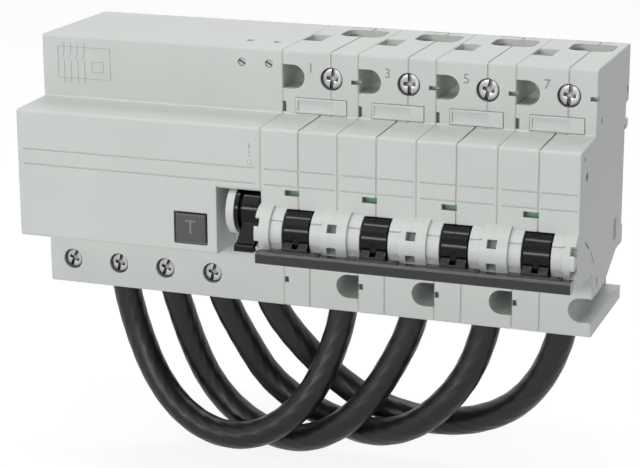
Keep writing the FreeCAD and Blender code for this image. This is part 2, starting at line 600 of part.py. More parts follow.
def toggle():
    drum = rod_x(DRUM_R, DRUM_LEFT, DRUM_RIGHT, AXIS_Y, AXIS_Z)
    trunnions = rod_x(TRUNNION_R, DRUM_LEFT - TRUNNION_LENGTH, DRUM_RIGHT + TRUNNION_LENGTH, AXIS_Y, AXIS_Z)
    middle = (DRUM_LEFT + DRUM_RIGHT) / 2
    pit = box(middle - 1.1, middle + 1.0, BAR_BACK_Y - 0.5, BAR_BACK_Y + 1.2, BAR_LOW + 2.0, AXIS_Z)
    return cut(fuse(drum, trunnions, handle_tab(DRUM_LEFT, DRUM_RIGHT)), pit)


def bar_outline():
    top = BAR_LOW + BAR_HEIGHT
    return [(BAR_BACK_Y, BAR_LOW + 0.6, 0.4), (BAR_BACK_Y, top - 0.4, 0.4),
            (BAR_FRONT_Y + BAR_FACET, top - 0.1), (BAR_FRONT_Y, top - 0.1 - BAR_FACET),
            (BAR_FRONT_Y, BAR_LOW, 0.5)]


def tie_bar():
    left = UNIT_RIGHT + BAR_OVERHANG
    right = UNIT_RIGHT + POLE_COUNT * POLE_WIDTH
    bar = slab_x(bar_outline(), left, right)
    top = BAR_LOW + BAR_HEIGHT
    pads = []
    pits = []
    sockets = []
    for x in POLE_LEFTS:
        ends = (x + NARROW_COLLAR_LEFT + 0.6, x + SLOT_RIGHT + NARROW_COLLAR_WIDTH + 0.4)
        pads.append(slab_x([(BAR_BACK_Y, top - 1.0), (BAR_BACK_Y, top + BAR_PAD - 0.5, 0.3),
                            (BAR_FRONT_Y + 1.6, top + BAR_PAD - 0.2, 0.3),
                            (BAR_FRONT_Y + 1.0, top - 1.0)], *ends))
        slot = x + SLOT_LEFT
        pits.append(box(ends[1] - 1.5, ends[1] - 0.4, BAR_BACK_Y - 2.8, BAR_BACK_Y - 0.8, top - 1, top + 2))
        pits.append(box(slot - 0.5, slot + 0.2, BAR_BACK_Y - 1.6, BAR_BACK_Y + 1, top - 1, top + 2))
        sockets.append(handle_tab(x + DRUM_LEFT, x + DRUM_RIGHT))
    return cut(fuse(bar, *pads), *(pits + sockets))


def contact_arm():
    """Moving contact with its pivot and the two-colour flag behind the window."""
    middle = NOSE_SEAM - WINDOW_WIDTH / 2 + 0.1
    x0 = middle - ARM_WIDTH / 2
    x1 = middle + ARM_WIDTH / 2
    pivot = rod_x(ARM_PIVOT_R, WALL - 0.6, POLE_WIDTH - WALL + 0.6, ARM_PIVOT_Y, ARM_PIVOT_Z)
    hub = rod_x(ARM_PIVOT_R + 1.6, x0, x1, ARM_PIVOT_Y, ARM_PIVOT_Z)
    tip_y = ARM_PIVOT_Y + CONTACT_REACH
    lever = slab_x([(ARM_PIVOT_Y, ARM_PIVOT_Z - 2.2), (ARM_PIVOT_Y, ARM_PIVOT_Z + 2.2),
                    (tip_y + 2, ARM_PIVOT_Z - 2.0), (tip_y + 2, ARM_PIVOT_Z - 4.0)], x0, x1)
    pad = rod_z(2.2, ARM_PIVOT_Z - 3.0, ARM_PIVOT_Z - 1.0, middle, tip_y)
    stem = box(middle - 1.0, middle + 1.0, FLAG_Y + 0.4, ARM_PIVOT_Y, ARM_PIVOT_Z + 1.6, ARM_PIVOT_Z + 3.6)
    ring = cut(rod_x(FLAG_REACH, x0, x1, ARM_PIVOT_Y, ARM_PIVOT_Z),
               rod_x(FLAG_REACH - 0.8, x0 - 1, x1 + 1, ARM_PIVOT_Y, ARM_PIVOT_Z))
    flag = ring.common(box(x0, x1, FLAG_Y - 1, ARM_PIVOT_Y - 8, WINDOW_Z - 1.5, WINDOW_Z + 4.2))
    return fuse(hub, pivot, lever, pad, stem, flag)


# ---------------------------------------------------------------- terminals
def slotted_screw(x, z, front, back, head_r, shank_r, slot, head_thick):
    head = rod_y(head_r, front, front + head_thick, x, z)
    shank = rod_y(shank_r, front + head_thick, back, x, z)
    cross = [box(x - head_r - 1, x + head_r + 1, front - 1, front + 1.1, z - slot / 2, z + slot / 2),
             box(x - head_r * 0.55, x + head_r * 0.55, front - 1, front + 1.1, z - slot / 2, z + slot / 2)]
    cross[1].rotate(V(x, 0, z), Y_AXIS, 90)
    screw = cut(fuse(head, shank), *cross)
    screw.rotate(V(x, 0, z), Y_AXIS, -38)
    return screw


def supply_screw():
    return slotted_screw(SCREW_X, SCREW_Z, SCREW_FRONT, CLAMP_FRONT + CLAMP_PLATE, SCREW_HEAD_R,
                         SCREW_SHANK_R, SCREW_SLOT, SCREW_HEAD_THICK)


def clamp(x, z, front, width, depth, height, boss, bore_r):
    """Lift clamp: a loop that the wire passes through, with the nut in front."""
    outer = box(x - width / 2, x + width / 2, front, front + depth, z - height / 2, z + height / 2)
    inner = box(x - width / 2 + CLAMP_PLATE, x + width / 2 - CLAMP_PLATE, front + CLAMP_PLATE,
                front + depth - CLAMP_PLATE, z - height, z + height)
    nut = rod_y(bore_r + 1.8, front - boss, front, x, z)
    bore = rod_y(bore_r + RUNNING, front - boss - 1, front + CLAMP_PLATE + 0.5, x, z)
    return cut(fuse(cut(outer, inner), nut), bore)


def supply_clamp():
    return clamp(SCREW_X, SCREW_Z, CLAMP_FRONT, CLAMP_WIDTH, CLAMP_DEPTH, CLAMP_HEIGHT, CLAMP_BOSS,
                 SCREW_SHANK_R)


def fixed_contact():
    """Bus strip from the supply terminal down to the fixed contact over the moving one."""
    half = BUS_WIDTH / 2
    top = SCREW_Z + CLAMP_HEIGHT / 2
    shelf_low = NOSE_TOP - 3.4
    strip = box(SCREW_X - half, SCREW_X + half, BUS_FRONT, BUS_FRONT + BUS_THICK, shelf_low, top)
    contact_y = ARM_PIVOT_Y + CONTACT_REACH
    shelf = box(SCREW_X - 5.6, SCREW_X + half, contact_y - 1.8, BUS_FRONT + BUS_THICK, shelf_low,
                shelf_low + BUS_THICK)
    low = ARM_PIVOT_Z - 1.0 + CONTACT_REACH * math.sin(math.radians(ARM_TRAVEL)) + CLEAR + 0.3
    drop = box(SCREW_X - 5.6, SCREW_X - 0.6, contact_y - 1.8, contact_y - 0.6, low + 1.5,
               shelf_low + BUS_THICK)
    middle = NOSE_SEAM - WINDOW_WIDTH / 2 + 0.1
    foot = box(middle - 2.5, SCREW_X - 0.6, contact_y - 1.8, contact_y + 2.4, low + 1.5, low + 2.7)
    pad = rod_z(2.0, low, low + 1.6, middle, contact_y)
    return fuse(strip, shelf, drop, foot, pad)


def load_terminal():
    """Box with its screw, sealed behind the lower front; the lead ends flush at its underside."""
    low = -TOP + 2.7
    x = POLE_WIDTH - ENTRY_X
    back = -SLIDER_INSET - SLIDER_THICK - 2 * CLEAR - 0.9
    body = box(x - 6.4, x + 6.4, -17.4, back, low, low + 12)
    bore = rod_z(3.4, low + 0.8, low + 13, x, -LEAD_ENTRY_DEPTH)
    screw = rod_y(SCREW_SHANK_R, CHAMBER_FRONT + 0.4, -17.4, x, low + 6)
    head = rod_y(SCREW_HEAD_R, CHAMBER_FRONT + 0.4, CHAMBER_FRONT + 3, x, low + 6)
    return [cut(body, bore), fuse(screw, head)]


def arc_chute():
    plates = []
    for i in range(CHUTE_PLATES):
        z = -NOSE_TOP + 2.2 + i * CHUTE_PITCH
        plate = box(WALL + 0.1, POLE_WIDTH - WALL - 0.1, -27.5, -12.0, z, z + CHUTE_PLATE)
        notch = box(POLE_WIDTH / 2 - 2.5, POLE_WIDTH / 2 + 2.5, -28, -22, z - 1, z + 2)
        plates.append(cut(plate, notch))
    return plates


def magnet_coil():
    yoke = box(WALL + 0.1, POLE_WIDTH - WALL - 0.1, -23.0, -7.0, 3.0, 14.0)
    window = box(WALL + 2.2, POLE_WIDTH - WALL - 2.2, -24.0, -6.0, 5.0, 12.0)
    coil = rod_x(5.4, WALL + 2.5, POLE_WIDTH - WALL - 2.5, -15.0, 8.5)
    return [fuse(cut(yoke, window), coil)]


def bimetal():
    """Thermal strip standing behind the arm, its foot on the arc chute's top plate."""
    top_plate = -NOSE_TOP + 2.2 + (CHUTE_PLATES - 1) * CHUTE_PITCH + CHUTE_PLATE
    strip = box(WALL + 1.0, WALL + 5.0, -26.2, -25.3, top_plate, NOSE_TOP - 3.0)
    foot = box(WALL + 1.0, WALL + 5.0, -26.2, -23.2, top_plate, top_plate + 1.0)
    return fuse(strip, foot)


def label_strip():
    left = LABEL_LEFT + 0.15
    low = LABEL_LOW + 0.15
    holder = box(left, left + LABEL_WIDTH - 0.3, TIER - 0.25, TIER + LABEL_THICK, low,
                 low + LABEL_HEIGHT - 0.3)
    card = box(left + 0.7, left + LABEL_WIDTH - 5.2, TIER - 1, TIER + 0.15, low + 0.8,
               low + LABEL_HEIGHT - 1.1)
    return cut(holder, card)


def rivets():
    inset = 0.25
    return [rod_x(RIVET_R, inset, POLE_WIDTH - inset, y, z) for y, z in rivet_places()]


# ---------------------------------------------------------------- residual current unit
def unit_outer():
    body = slab_x(case_outline(), UNIT_LEFT, UNIT_RIGHT)
    return chamfer_ends(body, (UNIT_LEFT, UNIT_RIGHT), SIDE_CHAMFER)


def slider_places():
    return [(LEAD_EXITS[i] + LEAD_EXITS[i + 1]) / 2 + SLIDER_SHIFT for i in (0, 2)]


def unit_base():
    """Back of the unit: rail seat, fixed hook, slider channels and posts for the inner parts."""
    far = 300
    base = unit_outer().common(box(-far, far, -BASE_FRONT, far, -far, far))
    posts = [rod_y(2.2, -8.0, -BASE_FRONT + 0.5, x, z)
             for x in (UNIT_LEFT + 8, RECESS_LEFT - 4) for z in (-16, 10)]
    wells = [rod_z(LEAD_R + CLEAR, FOOT, LEADS[0][0][2] + CLEAR, x, -LEAD_EXIT_DEPTH) for x in LEAD_EXITS]
    channels = [slider_channel(x, CLEAR) for x in slider_places()]
    return cut(fuse(base, *posts), *(channels + exit_holes() + wells))


def exit_holes():
    """Holes in the unit's floor for the leads and their sleeves."""
    return [rod_z(LEAD_R + SLEEVE_WALL, FOOT - 1, FOOT + UNIT_WALL + 1, x, -LEAD_EXIT_DEPTH)
            for x in LEAD_EXITS]


def unit_cavity():
    front = NOSE + UNIT_WALL + 0.4
    tall = TOP - UNIT_WALL
    nose = NOSE_TOP - UNIT_WALL
    tier = TIER + UNIT_WALL
    return slab_x([(-BASE_FRONT + 1, tall), (tier, tall), (tier, nose), (front, nose), (front, -nose),
                   (tier, -nose), (tier, -tall), (-BASE_FRONT + 1, -tall)],
                  UNIT_LEFT + UNIT_WALL, UNIT_RIGHT - UNIT_WALL)


def button_shaft():
    """Sleeve inside the cover that guides the test button."""
    wide = BUTTON_WIDTH / 2 + CLEAR
    tall = BUTTON_HEIGHT / 2 + CLEAR
    outer = box(BUTTON_X - wide - 2.0, BUTTON_X + wide + 2.0, NOSE + 1, NOSE + 8.5, BUTTON_Z - tall - 2.0,
                BUTTON_Z + tall + 2.0)
    rim = BUTTON_GAP - CLEAR
    frame = box(BUTTON_X - wide - rim, BUTTON_X + wide + rim, NOSE - 1, NOSE + 1.6,
                BUTTON_Z - tall - rim, BUTTON_Z + tall + rim)
    hole = box(BUTTON_X - wide, BUTTON_X + wide, NOSE - 1, NOSE + 7.0, BUTTON_Z - tall, BUTTON_Z + tall)
    stem = rod_y(BUTTON_STEM_R + CLEAR, NOSE, NOSE + 10, BUTTON_X, BUTTON_Z)
    return outer, [frame, hole, stem]


def unit_cover():
    far = 300
    body = unit_outer().common(box(-far, far, -far, -BASE_FRONT, -far, far))
    body = cut(body, unit_cavity())
    back = NOSE + RECESS_DEPTH
    walls = box(RECESS_LEFT - UNIT_WALL, UNIT_RIGHT, NOSE + 1, back + UNIT_WALL, -NOSE_TOP + 0.5,
                RECESS_ROOF + UNIT_WALL)
    sleeve, sleeve_cuts = button_shaft()
    bosses = [rod_y(2.0, NOSE + 1, -BOARD_DEPTH - BOARD_THICK, x, z)
              for x in board_bosses() for z in (-12, 16)]
    load_posts = [rod_y(LOAD_SCREW_R + 1.8, TIER + 1, TIER + 5.0, x, -LOAD_SCREW_Z) for x in LOAD_SCREWS]
    aux_posts = [rod_y(AUX_SCREW_R + 1.2, TIER + 1, TIER + 7, UNIT_RIGHT - dx, AUX_SCREW_Z)
                 for dx in AUX_SCREWS]
    body = fuse(body, walls, sleeve, *(bosses + load_posts + aux_posts))
    removed = list(sleeve_cuts)
    lip_back = NOSE + RECESS_LIP_R
    slope = RECESS_ROOF - RECESS_TOP
    removed.append(slab_x([(NOSE - 3, RECESS_TOP + 2), (NOSE, RECESS_TOP + 2),
                           (NOSE, RECESS_TOP, RECESS_LIP_R), (lip_back, RECESS_TOP),
                           (lip_back + slope, RECESS_ROOF), (back, RECESS_ROOF, 1.0),
                           (back, -NOSE_ROOT - 3), (NOSE - 3, -NOSE_ROOT - 3)], RECESS_LEFT, UNIT_RIGHT + 1))
    removed += [rod_y(LOAD_SCREW_R + 0.4, TIER - 1, TIER + 4.0 + CLEAR, x, -LOAD_SCREW_Z)
                for x in LOAD_SCREWS]
    removed += [rod_y(SCREW_SHANK_R + CLEAR, TIER, TIER + 8, x, -LOAD_SCREW_Z) for x in LOAD_SCREWS]
    removed += exit_holes()
    removed += [round_hole_z(x, -LOAD_WIRE_DEPTH, LOAD_WIRE_WIDTH, LOAD_WIRE_WIDTH, 2.5, FOOT - 1,
                             FOOT + UNIT_WALL + 1) for x in LOAD_SCREWS]
    removed += [rod_y(AUX_SCREW_R, TIER - 1, TIER + 6, UNIT_RIGHT - dx, AUX_SCREW_Z) for dx in AUX_SCREWS]
    removed += [rod_z(AUX_ENTRY_R, TOP - UNIT_WALL - 1, TOP + 1, UNIT_RIGHT - dx - AUX_ENTRY_R,
                      TIER + AUX_ENTRY_DEPTH) for dx in AUX_SCREWS]
    removed.append(rod_x(TRIP_R + RUNNING, UNIT_RIGHT - UNIT_WALL - 1, UNIT_RIGHT + 1, -TRIP_DEPTH,
                         TRIP_HEIGHT))
    removed += front_marks(UNIT_LEFT + 2.4, UNIT_RIGHT - 2.0)
    collar, collar_bore = unit_collar()
    return cut(fuse(cut(body, *removed), collar), collar_bore)


def board_bosses():
    return (UNIT_LEFT + 14, RECESS_LEFT - 19)


def unit_handle():
    """Drum with a flange, turned by a lever that ends in a finger plate."""
    y = UNIT_AXIS_Y
    z = UNIT_AXIS_Z
    right = UNIT_RIGHT - CLEAR
    drum = rod_x(UNIT_DRUM_R, UNIT_DRUM_LEFT, right, y, z)
    neck = rod_x(UNIT_NECK_R, UNIT_FLANGE_LEFT, UNIT_DRUM_LEFT, y, z)
    flange = rod_x(UNIT_FLANGE_R, UNIT_FLANGE_LEFT, UNIT_FLANGE_LEFT + UNIT_FLANGE_WIDTH, y, z)
    axle = rod_x(TRUNNION_R, UNIT_FLANGE_LEFT - CLEAR - UNIT_COLLAR_WIDTH + 0.4, UNIT_FLANGE_LEFT, y, z)
    lever = slab_x([(y - 3.0, z - 2.6), (y - 8.0, z - 2.9, 0.4), (y - 11.4, z - 8.9, 0.6),
                    (y - 9.2, z - 10.8, 0.6), (y - 2.0, z - 6.6)], UNIT_DRUM_LEFT - 0.9, right - 0.2)
    side = box(UNIT_DRUM_LEFT - 20, UNIT_DRUM_LEFT + 0.4, y - 20, y, z - 30, z + 10)
    side.rotate(V(UNIT_DRUM_LEFT + 0.4, y, z - 3), Y_AXIS, UNIT_LEVER_LEAN)
    plate = slab_x([(y - 9.4, z - 8.9, 0.4), (y - 12.4, z - 9.3, 0.6), (y - 12.8, z - 11.8, 0.6),
                    (y - 8.8, z - 11.4, 0.6)], UNIT_DRUM_LEFT - 1.0, right - 0.1)
    return fuse(drum, neck, flange, axle, cut(lever, side), plate)


def unit_collar():
    """Collar that carries the handle's axle, on a web from the back of the recess, and its bore."""
    right = UNIT_FLANGE_LEFT - CLEAR
    left = right - UNIT_COLLAR_WIDTH
    ring = rod_x(UNIT_FLANGE_R, left, right, UNIT_AXIS_Y, UNIT_AXIS_Z)
    web = box(left, right, UNIT_AXIS_Y, NOSE + RECESS_DEPTH + 0.5, UNIT_AXIS_Z - 6.0, UNIT_AXIS_Z + 6.0)
    bore = rod_x(TRUNNION_R + RUNNING, left - 1, right + 1, UNIT_AXIS_Y, UNIT_AXIS_Z)
    return fuse(ring, web), bore


def test_button():
    wide = BUTTON_WIDTH / 2
    tall = BUTTON_HEIGHT / 2
    cap = box(BUTTON_X - wide, BUTTON_X + wide, NOSE - 0.3, CAP_BACK, BUTTON_Z - tall, BUTTON_Z + tall)
    edges = [edge for edge in cap.Edges if edge.BoundBox.YMax < NOSE]
    cap = cap.makeFillet(0.6, edges)
    stem = rod_y(BUTTON_STEM_R, CAP_BACK - 0.5, NOSE + 9.6, BUTTON_X, BUTTON_Z)
    return fuse(cap, stem)


def test_spring():
    """Dished spring washer round the stem, its inner rim on the cap."""
    rim = SPRING_INNER_R
    outer = SPRING_OUTER_R
    profile = [(rim, 0), (rim + 0.4, 0), (outer, SPRING_HEIGHT - SPRING_THICK), (outer, SPRING_HEIGHT),
               (outer - 0.4, SPRING_HEIGHT), (rim, SPRING_THICK)]
    corners = [V(BUTTON_X + r, CAP_BACK + y, BUTTON_Z) for r, y in profile]
    face = Part.Face(Part.makePolygon(corners + corners[:1]))
    return face.revolve(V(BUTTON_X, 0, BUTTON_Z), Y_AXIS, 360)


def load_screw(x):
    return slotted_screw(x, -LOAD_SCREW_Z, TIER + 1.0, -LOAD_WIRE_DEPTH - LOAD_WIRE_WIDTH / 2 - 1.6,
                         LOAD_SCREW_R, SCREW_SHANK_R, SCREW_SLOT, 3.0)


def load_box(x):
    """Terminal box behind the screw: the wire goes in from below."""
    half = LOAD_WIRE_WIDTH / 2 + 1.6
    middle = -LOAD_WIRE_DEPTH
    low = FOOT + UNIT_WALL
    body = box(x - half, x + half, middle - half - 0.8, middle + half, low, -LOAD_SCREW_Z + 6)
    room = box(x - half + 1.6, x + half - 1.6, middle - half + 1.6, middle + half - 1.6, low - 1,
               -LOAD_SCREW_Z + 4.4)
    bore = rod_y(SCREW_SHANK_R + RUNNING, middle - half - 2, middle, x, -LOAD_SCREW_Z)
    return cut(body, room, bore)


def primary_bar(screw_x, exit_x):
    """Copper bar from the lead up through the sensing core and down to the load terminal."""
    low = LEADS[0][0][2]
    half = LOAD_WIRE_WIDTH / 2 + 1.6
    box_back = -LOAD_WIRE_DEPTH + half
    up = box(exit_x - 2.5, exit_x + 2.5, -11.0, -9.0, low, 14)
    over = box(exit_x - 2.5, exit_x + 2.5, box_back + 5.0, -9.0, 12, 14)
    down = box(exit_x - 2.5, exit_x + 2.5, box_back + 5.0, box_back + 7.0, -34.0, 14)
    foot = box(screw_x - 2.5, exit_x + 2.5, box_back, box_back + 7.0, -36.0, -34.0)
    return fuse(up, over, down, foot)


def sensing_core():
    x0 = LEAD_EXITS[0] - 7.5
    x1 = LEAD_EXITS[-1] + 7.5
    core = box(x0, x1, -13.9, -6.2, -7, 7)
    window = box(x0 + 3.5, x1 - 3.5, -11.6, -8.4, -8, 8)
    return cut(core, window)


def sensing_winding():
    """Winding on the front leg of the core, between two primary bars."""
    middle = (LEAD_EXITS[1] + LEAD_EXITS[2]) / 2
    left = middle - 4.0
    right = middle + 4.0
    outer = box(left, right, -15.2, -11.2, -8.3, 8.3)
    inner = box(left - 1, right + 1, -13.9, -11.6, -7, 7)
    return cut(outer, inner)


def circuit_board():
    xs = board_bosses()
    y0 = -BOARD_DEPTH - BOARD_THICK
    board = box(xs[0] - 5, RECESS_LEFT - UNIT_WALL - 3, y0, -BOARD_DEPTH, -NOSE_TOP + 2.6, NOSE_TOP - 2.6)
    stem = rod_y(1.5 + 2 * CLEAR, y0 - 1, y0 + 5, BUTTON_X, BUTTON_Z)
    chips = [box(x, x + 7, -BOARD_DEPTH, -BOARD_DEPTH + h, z, z + 6) for x, z, h in
             ((UNIT_LEFT + 20, 4, 3.0), (UNIT_LEFT + 34, -10, 6.0), (UNIT_LEFT + 46, 6, 2.0))]
    cans = [rod_y(3.2, -BOARD_DEPTH, -BOARD_DEPTH + 9, UNIT_LEFT + 22 + 9 * i, -12) for i in (0, 4)]
    return fuse(cut(board, stem), *(chips + cans))


def trip_relay():
    right = UNIT_RIGHT - UNIT_WALL
    body = box(right - 14, right, -48.0, -30.0, RECESS_ROOF + UNIT_WALL, 18.0)
    plunger = rod_y(1.2, -51.0, -47.5, right - 7, 11.5)
    return fuse(body, plunger)


def trip_shaft():
    left = UNIT_RIGHT - 14
    right = POLE_LEFTS[-1] + POLE_WIDTH - 0.6
    shaft = rod_x(TRIP_R, left, right, -TRIP_DEPTH, TRIP_HEIGHT)
    lever = slab_x([(-TRIP_DEPTH - 1.2, TRIP_HEIGHT), (-TRIP_DEPTH + 1.0, TRIP_HEIGHT),
                    (-TRIP_DEPTH + 3.4, TRIP_HEIGHT - 5.0, 0.4), (-TRIP_DEPTH + 1.8, TRIP_HEIGHT - 5.4, 0.4)],
                   left + 1, left + 9)
    return fuse(shaft, lever)


def aux_screw(dx):
    x = UNIT_RIGHT - dx
    head = rod_y(AUX_SCREW_R, TIER + 0.3, TIER + 5.8, x, AUX_SCREW_Z)
    slot = box(x - 2, x + 2, TIER - 1, TIER + 0.9, AUX_SCREW_Z - 0.25, AUX_SCREW_Z + 0.25)
    slot.rotate(V(x, 0, AUX_SCREW_Z), Y_AXIS, 30)
    return cut(head, slot)


# ---------------------------------------------------------------- leads
def lead_path(points):
    """Straight runs joined by tangent arcs, each as large as its two runs allow."""
    places = [V(*p) for p in points]
    edges = []
    start = places[0]
    radii = []
    for before, here, after in zip(places, places[1:], places[2:]):
        back = before - here
        ahead = after - here
        shorter = min(back.Length, ahead.Length)
        back.normalize()
        ahead.normalize()
        reach = 0.45 * shorter
        half_turn = (math.pi - math.acos(back.dot(ahead))) / 2
        radius = reach / math.tan(half_turn)
        radii.append(radius)
        enter = here + back * reach
        leave = here + ahead * reach
        to_centre = radius / math.cos(half_turn)
        inward = (back + ahead).normalize()
        middle = here + inward * (to_centre - radius)
        edges.append(Part.LineSegment(start, enter).toShape())
        edges.append(Part.Arc(enter, middle, leave).toShape())
        start = leave
    edges.append(Part.LineSegment(start, places[-1]).toShape())
    return Part.Wire(edges), radii


def lead(points):
    path, radii = lead_path(points)
    first = V(*points[0])
    section = Part.Wire([Part.makeCircle(LEAD_R, first, V(*points[1]) - first)])
    tube = path.makePipeShell([section], True, False)
    expected = math.pi * LEAD_R ** 2 * path.Length
    print(f"lead length {path.Length:.1f} volume ratio {tube.Volume / expected:.4f} "
          f"radii {[round(r) for r in radii]}")
    return tube


def grommet(x):
    """Sleeve that lines a lead's exit, with a flange inside the unit."""
    sleeve = rod_z(LEAD_R + SLEEVE_WALL, FOOT, FOOT + UNIT_WALL, x, -LEAD_EXIT_DEPTH)
    flange = rod_z(LEAD_R + 1.4, FOOT + UNIT_WALL, FOOT + UNIT_WALL + 1.2, x, -LEAD_EXIT_DEPTH)
    inside = box(x - 20, x + 20, -20, -BASE_FRONT, FOOT - 1, FOOT + 10)
    bore = rod_z(LEAD_R + RUNNING, FOOT - 1, FOOT + 10, x, -LEAD_EXIT_DEPTH)
    channels = [slider_channel(place, CLEAR) for place in slider_places()]
    return cut(fuse(sleeve, flange.common(inside)), bore, *channels)


# ---------------------------------------------------------------- build
def main():
    os.makedirs("parts", exist_ok=True)
    for number, left in enumerate(POLE_LEFTS, start=1):
        name = f"pole{number}_"
        left_half, right_half = pole_case(number == POLE_COUNT)
        save(name + "case_left", moved(largest(left_half), left))
        save(name + "case_right", moved(largest(right_half), left))
        save(name + "toggle", moved(toggle(), left))
        save(name + "contact_arm", moved(contact_arm(), left))
        save(name + "supply_screw", moved(supply_screw(), left))
        save(name + "supply_clamp", moved(supply_clamp(), left))
        save(name + "rail_slider", moved(rail_slider(POLE_WIDTH / 2), left))
    save("tie_bar", tie_bar())
    save("trip_shaft", trip_shaft())
    save("label_strips", *[moved(label_strip(), x) for x in POLE_LEFTS])
    save("fixed_contacts", *[moved(fixed_contact(), x) for x in POLE_LEFTS])
    save("load_terminals", *[moved(piece, x) for x in POLE_LEFTS for piece in load_terminal()])
    save("arc_chutes", *[moved(plate, x) for x in POLE_LEFTS for plate in arc_chute()])
    save("magnet_coils", *[moved(coil, x) for x in POLE_LEFTS for coil in magnet_coil()])
    save("bimetal_strips", *[moved(bimetal(), x) for x in POLE_LEFTS])
    save("case_rivets", *[moved(rivet, x) for x in POLE_LEFTS for rivet in rivets()])

    save("rc_base", unit_base())
    save("rc_cover", unit_cover())
    save("rc_handle", unit_handle())
    save("rc_test_button", test_button())
    save("rc_test_spring", test_spring())
    for number, x in enumerate(LOAD_SCREWS, start=1):
        save(f"rc_load_screw_{number}", load_screw(x))
    save("rc_load_boxes", *[load_box(x) for x in LOAD_SCREWS])
    save("rc_primary_bars", *[primary_bar(*pair) for pair in zip(LOAD_SCREWS, LEAD_EXITS)])
    save("rc_sensing_core", sensing_core())
    save("rc_sensing_winding", sensing_winding())
    save("rc_circuit_board", circuit_board())
    save("rc_trip_relay", trip_relay())
    save("rc_aux_screws", *[aux_screw(dx) for dx in AUX_SCREWS])
    for side, x in zip(("left", "right"), slider_places()):
        save(f"rc_rail_slider_{side}", rail_slider(x))
    for number, points in enumerate(LEADS, start=1):
        save(f"lead_{number}", lead(points))
    save("lead_grommets", *[grommet(x) for x in LEAD_EXITS])


main()
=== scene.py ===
# %% [markdown]
# # Dressing a residual current device
# The real object is a wide sensing unit clipped to a rail beside four breaker poles, with four thick
# leads looping from the unit into the poles. Its working solids already exist as a imported model, and
# this lesson gives them their finish. Every solid keeps its place. New pieces are made only where a
# solid can't carry the look: the leads, the screws, and the marks printed on the faces.

import math

import bmesh
import bpy
from mathutils import Matrix, Vector


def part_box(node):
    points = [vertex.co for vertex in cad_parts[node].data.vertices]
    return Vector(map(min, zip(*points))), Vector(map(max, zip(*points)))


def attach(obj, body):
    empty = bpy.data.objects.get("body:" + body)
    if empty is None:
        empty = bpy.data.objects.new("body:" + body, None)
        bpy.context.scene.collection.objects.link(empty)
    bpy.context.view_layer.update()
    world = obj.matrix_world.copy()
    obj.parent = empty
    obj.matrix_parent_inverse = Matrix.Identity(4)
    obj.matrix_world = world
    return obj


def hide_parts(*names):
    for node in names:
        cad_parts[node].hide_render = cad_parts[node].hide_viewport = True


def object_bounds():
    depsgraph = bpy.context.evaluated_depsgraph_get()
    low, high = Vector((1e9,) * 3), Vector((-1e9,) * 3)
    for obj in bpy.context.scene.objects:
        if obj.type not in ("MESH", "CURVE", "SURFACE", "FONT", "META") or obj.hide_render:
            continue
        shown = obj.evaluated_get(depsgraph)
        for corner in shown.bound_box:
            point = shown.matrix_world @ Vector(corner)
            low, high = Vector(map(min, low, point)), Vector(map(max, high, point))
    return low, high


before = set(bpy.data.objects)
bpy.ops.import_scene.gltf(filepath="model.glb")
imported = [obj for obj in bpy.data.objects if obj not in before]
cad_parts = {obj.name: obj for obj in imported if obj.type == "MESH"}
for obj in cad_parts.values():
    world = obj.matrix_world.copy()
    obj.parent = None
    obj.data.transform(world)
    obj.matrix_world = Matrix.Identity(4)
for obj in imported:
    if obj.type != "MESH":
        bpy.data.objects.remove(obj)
solid_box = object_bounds()

# %% [markdown]
# ## Sizes
# Blender works in metres and this device is described in millimetres, so one value turns the second
# into the first. Places are read from the boxes of the solids, so a changed solid moves its finish.

# %% Sizes and places
MM = 0.001
POLES = (1, 2, 3, 4)
pole_left = {n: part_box(f"pole{n}_case_left")[0].x for n in POLES}
tier_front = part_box("pole1_supply_screw")[0].y - 0.9 * MM
nose_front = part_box("rc_cover")[0].y
unit_right = pole_left[1]
print("poles start at", [round(x / MM, 1) for x in pole_left.values()], "mm")
print("fronts at", round(tier_front / MM, 2), "and", round(nose_front / MM, 2), "mm")

# %% [markdown]
# ## Camera
# A product view from the right and a little above shows the fronts, the top and the right side at
# once. A long lens keeps the upright edges nearly parallel. The aim is given as two turns, one round
# the upright axis and one downwards, because those are what a tripod head has.

# %% Camera
CAMERA_PLACE = Vector((232.61, -662.87, 169.02)) * MM
CAMERA_YAW = 19.31
CAMERA_PITCH = 14.93
CAMERA_LENS = 113.09
CAMERA_SHIFT = -0.05
SENSOR_WIDTH = 36.0
NEAREST_SEEN = 0.05


def place_object(name, data):
    """A new object for this data, linked into the scene."""
    made = bpy.data.objects.new(name, data)
    bpy.context.scene.collection.objects.link(made)
    return made


lens = bpy.data.cameras.new("product_lens")
lens.lens = CAMERA_LENS
lens.sensor_width = SENSOR_WIDTH
lens.shift_x = CAMERA_SHIFT
lens.shift_y = CAMERA_SHIFT
lens.clip_start = NEAREST_SEEN
camera = place_object("product_camera", lens)
camera.location = CAMERA_PLACE
camera.rotation_euler = (math.radians(90.0 - CAMERA_PITCH), 0.0, math.radians(CAMERA_YAW))
bpy.context.scene.camera = camera
print("camera", round(CAMERA_PLACE.length / MM), "mm from the rail")

# %% [markdown]
# ## Building node trees
# Finishes and repeated shapes are both node trees. One short helper adds a node, sets its options
# and fills its sockets, and it takes either a plain value or the output of an earlier node.

# %% A helper that adds one node
def add_node(tree, kind, sockets=None, **options):
    made = tree.nodes.new(kind)
    for key, value in options.items():
        setattr(made, key, value)
    for key, value in (sockets or {}).items():
        if isinstance(value, bpy.types.NodeSocket):
            tree.links.new(value, made.inputs[key])
        else:
            made.inputs[key].default_value = value
    return made


def calculate(tree, operation, a, b=0.0, clamp=False):
    made = add_node(tree, "ShaderNodeMath", {0: a, 1: b}, operation=operation, use_clamp=clamp)
    return made.outputs[0]


